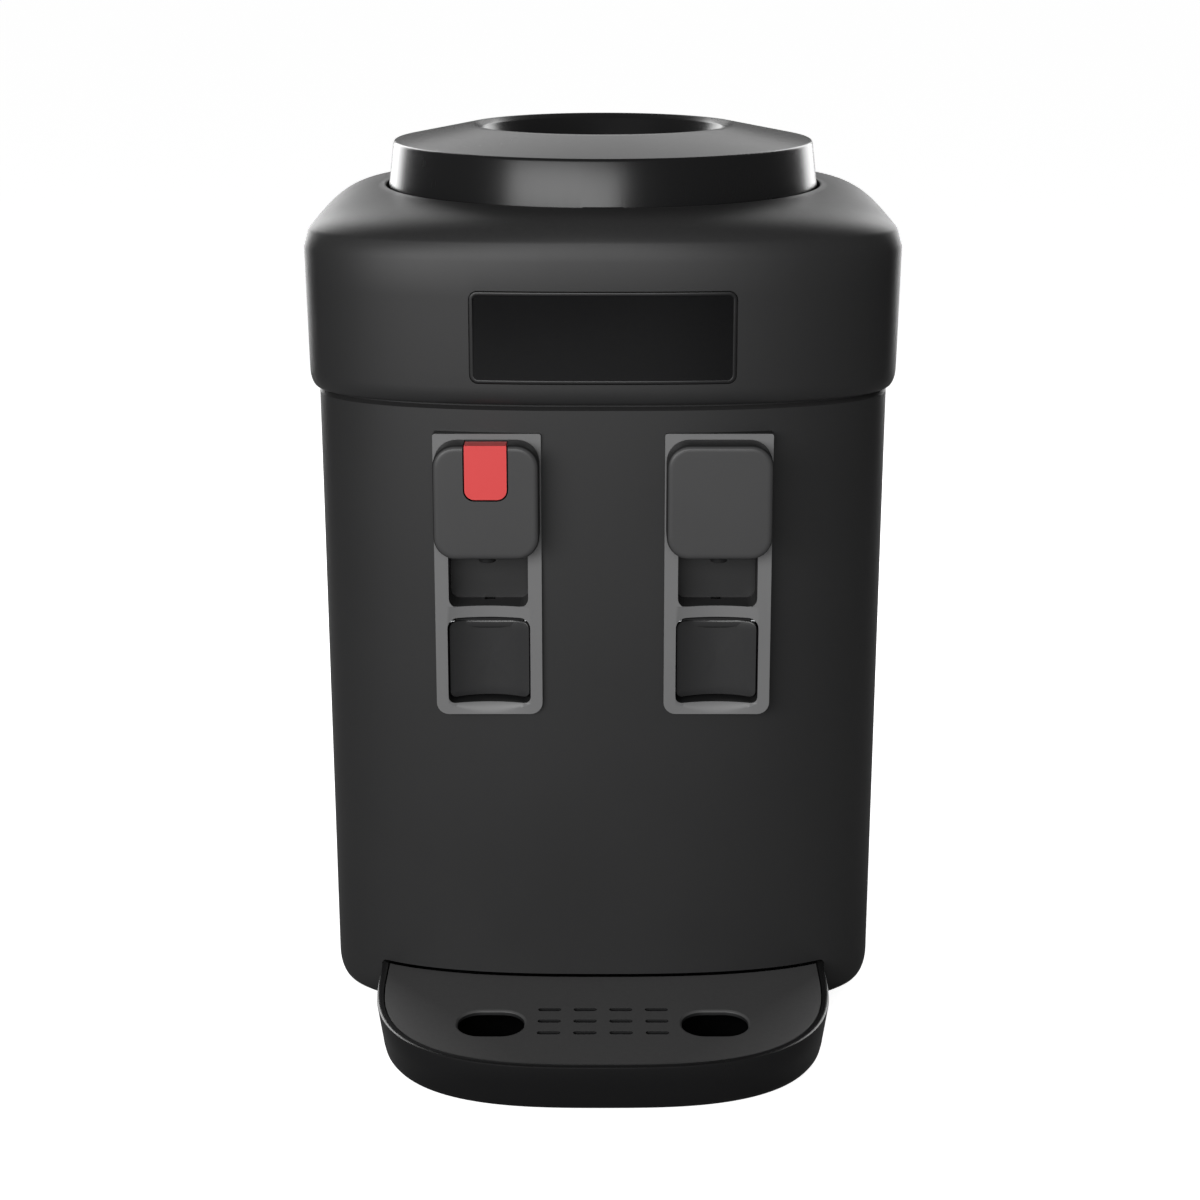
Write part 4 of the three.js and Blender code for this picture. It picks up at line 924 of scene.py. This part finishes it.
    def lock_tab(self, x):
        low, high = span("child_lock_tab")
        face = fillet([(low[0], low[2], 4.8), (high[0], low[2], 4.8), (high[0], high[2], 0.8),
                       (low[0], high[2], 0.8)], 6)
        shape = prism("child_lock_button", face, low[1], low[1] + 2.6, "y")
        bend = ((low[0] + 0.1, low[1] + 1, high[2] - 2), (high[0] - 0.1, high[1], high[2] - 0.05))
        join(shape, block("return", *bend), rod("boss", 1.8, -147.2, -144.5, 20, "y", (x, 0, LOCK_BOSS_Z)))
        fit(shape, "child_lock", ["child_lock_tab"], "lock", bevel=0.4)

    def paddle(self, label, x):
        half, hollow, thickness = 19.7, 6.0, 2
        height, centre_z, edge_y = 39.4, 193.25, -131.5
        radius = (half ** 2 + hollow ** 2) / (2 * hollow)
        centre_y = edge_y - radius + hollow

        def loop(inward, depth):
            corner = max(3.4 - inward, 0.3)
            across, z = rounded(2 * (half - inward), height - 2 * inward, corner, (0, centre_z), 5, 16).T
            return np.column_stack([across + x, centre_y + np.sqrt((radius + depth) ** 2 - across ** 2), z])

        inner = [(share * half, 0) for share in (0.99, 0.75, 0.5, 0.25)]
        edge = [(0.8, 0), (0.3, 0.15), (0, 0.6), (0, 1.5), (0.3, 1.9), (0.8, thickness)]
        outer = [(inward, thickness) for inward, _ in inner[::-1]]
        shape = stacked(f"{label}_cup_paddle", [loop(*level) for level in inner + edge + outer])
        pivot_y, pivot_z = middle(f"{label}_paddle_pin")[1:]
        pivot = (0, pivot_y, pivot_z)
        arm = fillet([(-124, 208.3, 0), (-103, 206, 4), (-103, 268, 1), (-106, 268, 1), (-106, 211.6, 3),
                      (-121, 212.4, 0), (-124, 213.5, 0)], 5)
        knuckle = fillet([(0, x - 17, 0), (3.4, x - 17, 0.5), (3.4, x + 17, 0.5), (0, x + 17, 0)], 3)
        join(shape, turned("knuckle", knuckle, 32, "x", pivot), prism("arm", arm, x - 2.5, x + 2.5, "x"))
        cut(shape, rod("bore", 1.8, x - 30, x + 30, 24, "x", pivot))
        fit(shape, f"{label}_paddle", [f"{label}_paddle"], "paddle", angle=34)


# ---- Drip tray --------------------------------------------------------------------------------------

def tray_front(inset):
    """The tray's bowed front, `inset` inside its rim, from left to right, and the half width of its ends."""
    low, high = span("drip_tray")
    half_width, depth = high[0] - inset, TRAY_CENTRE - low[1] - inset
    turn = np.linspace(0, np.pi, TRAY_STEPS + 1)
    x = -half_width * np.sign(np.cos(turn)) * np.abs(np.cos(turn)) ** (2 / TRAY_POWER)
    y = TRAY_CENTRE - depth * np.sin(turn) ** (2 / TRAY_POWER)
    return np.column_stack([x, y]), half_width


def tray_outline(inset, rear):
    """The tray's bowed front and straight sides."""
    front, half_width = tray_front(inset)
    sides = np.linspace(TRAY_CENTRE, rear, 5)[1:]
    right = np.column_stack([np.full(4, half_width), sides])
    left = np.column_stack([np.full(4, -half_width), sides[::-1]])
    return np.concatenate([front, right, left])


class DISPENSER_OT_tray(DispenserOperator, bpy.types.Operator):
    """Builds the drip tray and its lift-out grille"""
    bl_idname = "dispenser.tray"
    bl_label = "Drip tray"

    def build(self, sizes):
        self.tray()
        self.grille()

    def tray(self):
        low, high = span("drip_tray")
        rim = high[2]
        outer = [(5.6, low[2]), (4.2, low[2] + 0.3), (3.3, 2.4), (2.8, 4.6), (2.5, 7), (1.6, 13),
                 (0.1, rim - 0.9)]
        lip = [(0.25, rim - 0.3), (0.8, rim), (2.7, rim), (3.3, rim - 0.3), (3.5, rim - 0.9)]
        basin = [(3.5, 21.3), (3.7, 21.1), (5.2, 21.1), (5.4, 20.8), (5.8, 9), (6.6, 5.6), (8, 4.3), (10, 4)]
        rows = [at_height(tray_outline(inset, -100 - 0.2 * inset), z) for inset, z in outer + lip]
        rows += [at_height(tray_outline(inset, -101 - 0.25 * inset), z) for inset, z in basin]
        tray = stacked("drip_tray_bowl", rows)
        join(tray, block("tongue", (-106, -105, 7.6), (106, high[1], 20)))
        cut(tray, prism("rear basin", rounded(206, 27, 3, (0, -94.5)), 10, 30))
        fit(tray, "tray", ["drip_tray"], "gloss", angle=34)

    def grille(self):
        low, high = span("drip_grille")
        front = tray_front(4.0)[0]
        half, corner_y = front[-1][0], -124.0
        x = np.linspace(half, -half, 41)
        rear = np.column_stack([x, front_of(BODY, x, 1.68) - 0.9])
        outline = np.concatenate([front, [[half, corner_y]], rear, [[-half, corner_y]]])
        plate = prism("drip_grille_plate", outline, low[2], high[2])
        holes = [self.finger_hole(side * 54.8, low[2], high[2]) for side in (-1, 1)]
        slots = [prism("slot", rounded(11.4, 3.2, 1.5, (x, y), 5), low[2] - 3, high[2] + 3)
                 for x in (-26.4, -8.8, 8.8, 26.4) for y in (-168.2, -180, -191.8)]
        cut(plate, *holes, gather(*slots))
        fit(plate, "grille", ["drip_grille"], "grille", bevel=0.18, angle=42)
        # The walls of the finger holes and slots get the black finish: painted shade.
        second_finish(plate, "black", self.painted_shade_hole_wall)

    def painted_shade_hole_wall(self, face):
        """Whether a face is a wall of a finger hole or a slot, which the black finish darkens as painted
        shade.
        """
        x, y = face.center.x / MM, face.center.y / MM - AXIS_Y
        return abs(x) < 75 and -200 < y < -160 and abs(face.normal.z) < 0.3

    def finger_hole(self, x, bottom, top):
        """The tool for an oval hole with a shallow dished margin."""
        width, height, corner = 32.6, 25.2, 11.5
        margin = ((0, bottom - 2), (0, top - 0.9), (0.25, top - 0.4), (0.9, top - 0.1), (1.6, top + 0.6))
        return stacked("finger hole", [
            at_height(rounded(width + 2 * grow, height + 2 * grow, corner + grow, (x, -182), 12, 2), z)
            for grow, z in margin])


# ---- Rear and underside -----------------------------------------------------------------------------

class DISPENSER_OT_rear(DispenserOperator, bpy.types.Operator):
    """Builds the rear panel, its screws, switches, drain and cord gland, and the feet"""
    bl_idname = "dispenser.rear"
    bl_label = "Rear panel and feet"

    def build(self, sizes):
        self.panel()
        self.screws()
        for label in ("heat", "cool"):
            self.switch(label)
        self.drain()
        self.gland()
        self.feet()
        refine("base_pan", "black", 0.6)

    def panel(self):
        low, high = span("back_panel")
        outline = rounded(high[0] - low[0], high[2] - low[2], 3.6, (0, PANEL_Z))
        panel = prism("rear_panel", outline, low[1], high[1], "y")
        height, pitch = 3.4, 7.4
        slots = [prism("vent", rounded(width, height, 1.6, (0, lowest + k * pitch), 4), *PANEL_CUT, "y")
                 for width, lowest, count in ((72, middle("fan_frame")[2] - 33.3, 10), (80, 93.7, 6))
                 for k in range(count)]
        ports = []
        for label in ("heat", "cool"):
            x, _, z = middle(f"{label}_switch_housing")
            ports.append(prism("port", rounded(14.6, 20.6, 0.6, (x, z)), *PANEL_CUT, "y"))
        for fitting in ("drain_fitting", "cord_gland"):
            x, _, z = middle(fitting)
            ports.append(rod("port", 6.3, *PANEL_CUT, 40, "y", (x, 0, z)))
        centre, groove_floor = (0, 172), PANEL_FACE - 0.5
        groove = cut(prism("groove", rounded(150, 250, 6, centre), groove_floor, PANEL_FACE + 2, "y"),
                     prism("core", rounded(148, 248, 5, centre), *PANEL_CUT, "y"))
        cut(panel, gather(*slots), gather(*ports), groove)
        fit(panel, "cabinet", ["back_panel"], "housing", bevel=0.3)

    def screws(self):
        seat, driver_floor = 116.8, 117.9
        for end in ("lower", "upper"):
            for side in ("left", "right"):
                name = f"panel_screw_{end}_{side}"
                x, _, z = middle(name)
                low, high = span(name)
                head = fillet([(0, low[1], 0), (1.6, low[1], 0.2), (1.6, seat, 0), (3.6, seat, 0.2),
                               (3.4, 118.2, 0.5), (1.6, high[1], 0.8), (0, high[1], 0)], 4)
                screw = turned(f"screw_{end}_{side}", head, 36, "y", (x, 0, z))
                cut(screw, *[block("arm", (x - across, driver_floor, z - up), (x + across, 121, z + up))
                             for across, up in ((2, 0.35), (0.35, 2))])
                fit(screw, "cabinet", [name], "steel", angle=30)

    def switch(self, label):
        housing, rocker = f"{label}_switch_housing", f"{label}_switch_rocker"
        low, high = span(housing)
        x, _, z = middle(housing)
        flange = prism(f"{label}_switch_bezel", rounded(19, 25, 1.6, (x, z)), PANEL_FACE + 0.3, high[1], "y")
        join(flange, prism("shell", rounded(14, 20, 0.6, (x, z)), low[1], high[1] - 0.5, "y"))
        cut(flange, prism("pocket", rounded(11.2, 17.2, 0.8, (x, z)), 103, 130, "y"))
        fit(flange, "cabinet", [housing], "black", bevel=0.35)
        tip, foot, root = 119.4, 112.5, 107
        side = fillet([(root, 0, 1), (foot, -8, 0.8), (tip, -8, 0.8), (117.4, 0, 9), (tip, 8, 0.8),
                       (foot, 8, 0.8)], 5)
        out, along, turn = side[:, 0] - ROCKER_PIVOT_Y, side[:, 1], math.radians(7)
        tilted = np.column_stack([ROCKER_PIVOT_Y + out * math.cos(turn) - along * math.sin(turn),
                                  z + out * math.sin(turn) + along * math.cos(turn)])
        key = prism(f"{label}_rocker", tilted, x - 5.2, x + 5.2, "x")
        cut(key, rod("pivot", 1.5, x - 6, x + 6, 20, "x", (0, ROCKER_PIVOT_Y, z)))
        slot, finish = ("lock_red", "lock") if label == "heat" else ("switch_green", "green")
        fit(key, f"{label}_rocker", [rocker], finish, bevel=0.3)

    def drain(self):
        x, _, z = middle("drain_fitting")
        body = fillet([(2.6, 103, 0.2), (4.4, 103, 0.4), (4.4, 110, 0.3), (8, 110, 0.4), (8, 113.6, 0.4),
                       (6, 113.6, 0.1), (6, 116.8, 0.1), (9, 116.8, 0.5), (9, 118.6, 0.5), (5, 118.6, 0.2),
                       (5, 122.2, 0.4), (2.6, 122.2, 0.2)], 3)
        spout = turned("drain_spout", body, 48, "y", (x, 0, z))
        fit(spout, "cabinet", ["drain_fitting"], "tank", angle=34)
        cap = fillet([(0, 124.4, 0), (7.2, 124.4, 1), (8, 123.4, 0.4), (8, 118.9, 0.4), (5.6, 118.9, 0.2),
                      (5.6, 122.5, 0.2), (0, 122.5, 0)], 4)
        knob = turned("drain_knob", cap, 144, "y", (x, 0, z), ribs=18, rib_depth=0.055)
        fit(knob, "drain_cap", ["drain_cap"], "black", angle=34)

    def gland(self):
        x, _, z = middle("cord_gland")
        flange = [(3.8, 105, 0.3), (6, 105, 0.4), (6, 116.8, 0.1), (10, 116.8, 0.4), (10, 118.8, 0.6)]
        nose = [(7.4, 119.2, 0.5), (7.2, 120.4, 0.2), (6.7, 120.5, 0.2), (6.9, 121.6, 0.2), (6.4, 121.7, 0.2),
                (6.5, 122.8, 0.2), (6, 124.3, 0.4), (3.8, 124.3, 0.5)]
        grommet = turned("cord_grommet", fillet(flange + nose, 3), 56, "y", (x, 0, z))
        fit(grommet, "cabinet", ["cord_gland"], "rubber", angle=34)

    def feet(self):
        for end in ("front", "rear"):
            for side in ("left", "right"):
                name = f"foot_{end}_{side}"
                top = span(name)[1][2]
                x, y, _ = middle(name)
                profile = fillet([(0, 0, 0), (8, 0, 0.8), (9, 1.2, 0.5), (8.2, top, 0.3), (0, top, 0)], 4)
                pad = turned(f"pad_{end}_{side}", profile, 48, "z", (x, y, 0))
                fit(pad, "cabinet", [name], "rubber", angle=34)


# ---- Inside the cabinet -----------------------------------------------------------------------------

# Which finish each inner frame node has
INSIDE = {
    "cold_tank": "tank", "tank_jacket_left": "foam", "tank_jacket_right": "foam",
    "cold_plate": "aluminium", "peltier_module": "ceramic", "heat_sink": "aluminium",
    "fan_frame": "black", "fan_rotor": "black",
    "hot_tank": "steel", "heater_band": "mica", "hot_thermostat": "black", "thermal_cutout": "ceramic",
    "hot_tank_stand": "zinc", "tank_shelf": "zinc",
    "cold_outlet_tube": "silicone", "hot_outlet_tube": "silicone",
    "hot_feed_tube": "silicone", "drain_tube": "silicone",
    "power_supply": "zinc", "control_board": "board",
}


class DISPENSER_OT_inside(DispenserOperator, bpy.types.Operator):
    """Finishes the tanks, heater, cooler, fan, tubes and electrical parts inside"""
    bl_idname = "dispenser.inside"
    bl_label = "Inside parts"

    def build(self, sizes):
        for name, finish in INSIDE.items():
            refine(name, finish, 0.2 if "tube" in name else 0.35)


# ---- Stage ------------------------------------------------------------------------------------------

AIM = Vector((0, AXIS_Y * MM - 0.02, 0.24))
FLOOR_REACH = 20        # metres from the middle to each side
SENSOR_WIDTH = 36       # millimetres
CAMERA_SHIFT = (-0.0025, -0.12)

# For each lamp: place, width and height in metres, the setting for its power, and how much of that it gets
LAMPS = {
    "Left rim": ((-0.68, 1.0, 0.62), 0.5, 1.1, "rim", 1.0),
    "Right rim": ((0.68, 1.0, 0.62), 0.5, 1.1, "rim", 0.8),
    "Back": ((0, 1.5, 1.25), 1.8, 0.9, "back", 1.0),
    "Key": ((-0.72, -1.9, 0.8), 2.3, 0.9, "key", 1.0),
}


class DISPENSER_OT_stage(bpy.types.Operator):
    """Sets the pale floor, the soft lights and the camera"""
    bl_idname = "dispenser.stage"
    bl_label = "Floor, lights and camera"
    bl_options = {"REGISTER", "UNDO"}

    def execute(self, context):
        settings = context.scene.dispenser_stage
        self.floor()
        self.surroundings(context.scene)
        for name, (place, width, height, source, share) in LAMPS.items():
            self.lamp(name, place, width, height, getattr(settings, source) * share)
        self.camera(context.scene, settings)
        return {"FINISHED"}

    def floor(self):
        corners = [(x * FLOOR_REACH, y * FLOOR_REACH, 0) for x, y in ((-1, -1), (1, -1), (1, 1), (-1, 1))]
        mesh = bpy.data.meshes.new("floor")
        mesh.from_pydata(corners, [], [(0, 1, 2, 3)])
        floor = bpy.data.objects.new("floor", mesh)
        bpy.context.scene.collection.objects.link(floor)
        made = bpy.data.materials.new("Pale floor")
        made.use_nodes = True
        tree = made.node_tree
        surface = tree.nodes["Principled BSDF"]
        surface.inputs["Roughness"].default_value = 0.9
        surface.inputs["Emission Color"].default_value = (1, 1, 1, 1)
        seen = tree.nodes.new("ShaderNodeLightPath").outputs["Is Camera Ray"]
        feed(tree, spread(tree, seen, 0.2, 0.75), surface.inputs["Base Color"])
        feed(tree, spread(tree, seen, 0.0, 0.9), surface.inputs["Emission Strength"])
        mesh.materials.append(made)

    def surroundings(self, scene):
        world = bpy.data.worlds.new("Studio")
        scene.world = world
        world.use_nodes = True
        tree = world.node_tree
        background = tree.nodes["Background"]
        background.inputs["Color"].default_value = (1, 1, 1, 1)
        seen = tree.nodes.new("ShaderNodeLightPath").outputs["Is Camera Ray"]
        feed(tree, spread(tree, seen, 0.12, 1.0), background.inputs["Strength"])
        scene.view_settings.view_transform = "Standard"

    def lamp(self, name, place, width, height, power):
        data = bpy.data.lights.new(name, "AREA")
        data.shape = "RECTANGLE"
        data.size, data.size_y, data.energy = width, height, power
        lamp = bpy.data.objects.new(name, data)
        lamp.location = place
        lamp.rotation_euler = (AIM - Vector(place)).to_track_quat("-Z", "Y").to_euler()
        lamp.visible_camera = False
        bpy.context.scene.collection.objects.link(lamp)

    def camera(self, scene, settings):
        data = bpy.data.cameras.new("Camera")
        data.lens = settings.lens
        data.sensor_width = SENSOR_WIDTH
        data.shift_x, data.shift_y = CAMERA_SHIFT
        camera = bpy.data.objects.new("Camera", data)
        camera.location = (0, AXIS_Y * MM - settings.distance, settings.height)
        camera.rotation_euler = Euler((math.pi / 2 - settings.pitch, 0, 0))
        scene.collection.objects.link(camera)
        scene.camera = camera


class DISPENSER_PT_build(bpy.types.Panel):
    """Buttons for each group of pieces, with the sizes and colours that they use"""
    bl_label = "Water dispenser"
    bl_idname = "DISPENSER_PT_build"
    bl_space_type = "VIEW_3D"
    bl_region_type = "UI"
    bl_category = "Dispenser"

    def draw(self, context):
        for settings in ("dispenser_sizes", "dispenser_finishes", "dispenser_stage"):
            box = self.layout.box()
            values = getattr(context.scene, settings)
            for name in values.__annotations__:
                box.prop(values, name)
        for operator in OPERATORS:
            self.layout.operator(operator.bl_idname)


SETTINGS = {
    "dispenser_finishes": DispenserFinishes,
    "dispenser_sizes": DispenserSizes,
    "dispenser_stage": DispenserStage,
}
OPERATORS = (
    DISPENSER_OT_head, DISPENSER_OT_body, DISPENSER_OT_badge, DISPENSER_OT_collar, DISPENSER_OT_taps,
    DISPENSER_OT_tray, DISPENSER_OT_rear, DISPENSER_OT_inside, DISPENSER_OT_stage,
)


def register():
    for settings in SETTINGS.values():
        bpy.utils.register_class(settings)
    for operator in OPERATORS:
        bpy.utils.register_class(operator)
    bpy.utils.register_class(DISPENSER_PT_build)
    for name, settings in SETTINGS.items():
        setattr(bpy.types.Scene, name, PointerProperty(type=settings))


def unregister():
    for name in SETTINGS:
        delattr(bpy.types.Scene, name)
    for made in (DISPENSER_PT_build, *reversed(OPERATORS), *SETTINGS.values()):
        bpy.utils.unregister_class(made)


def main():
    register()
    for operator in OPERATORS:
        getattr(bpy.ops.dispenser, operator.bl_idname.split(".")[1])()


if __name__ == "__main__":
    main()
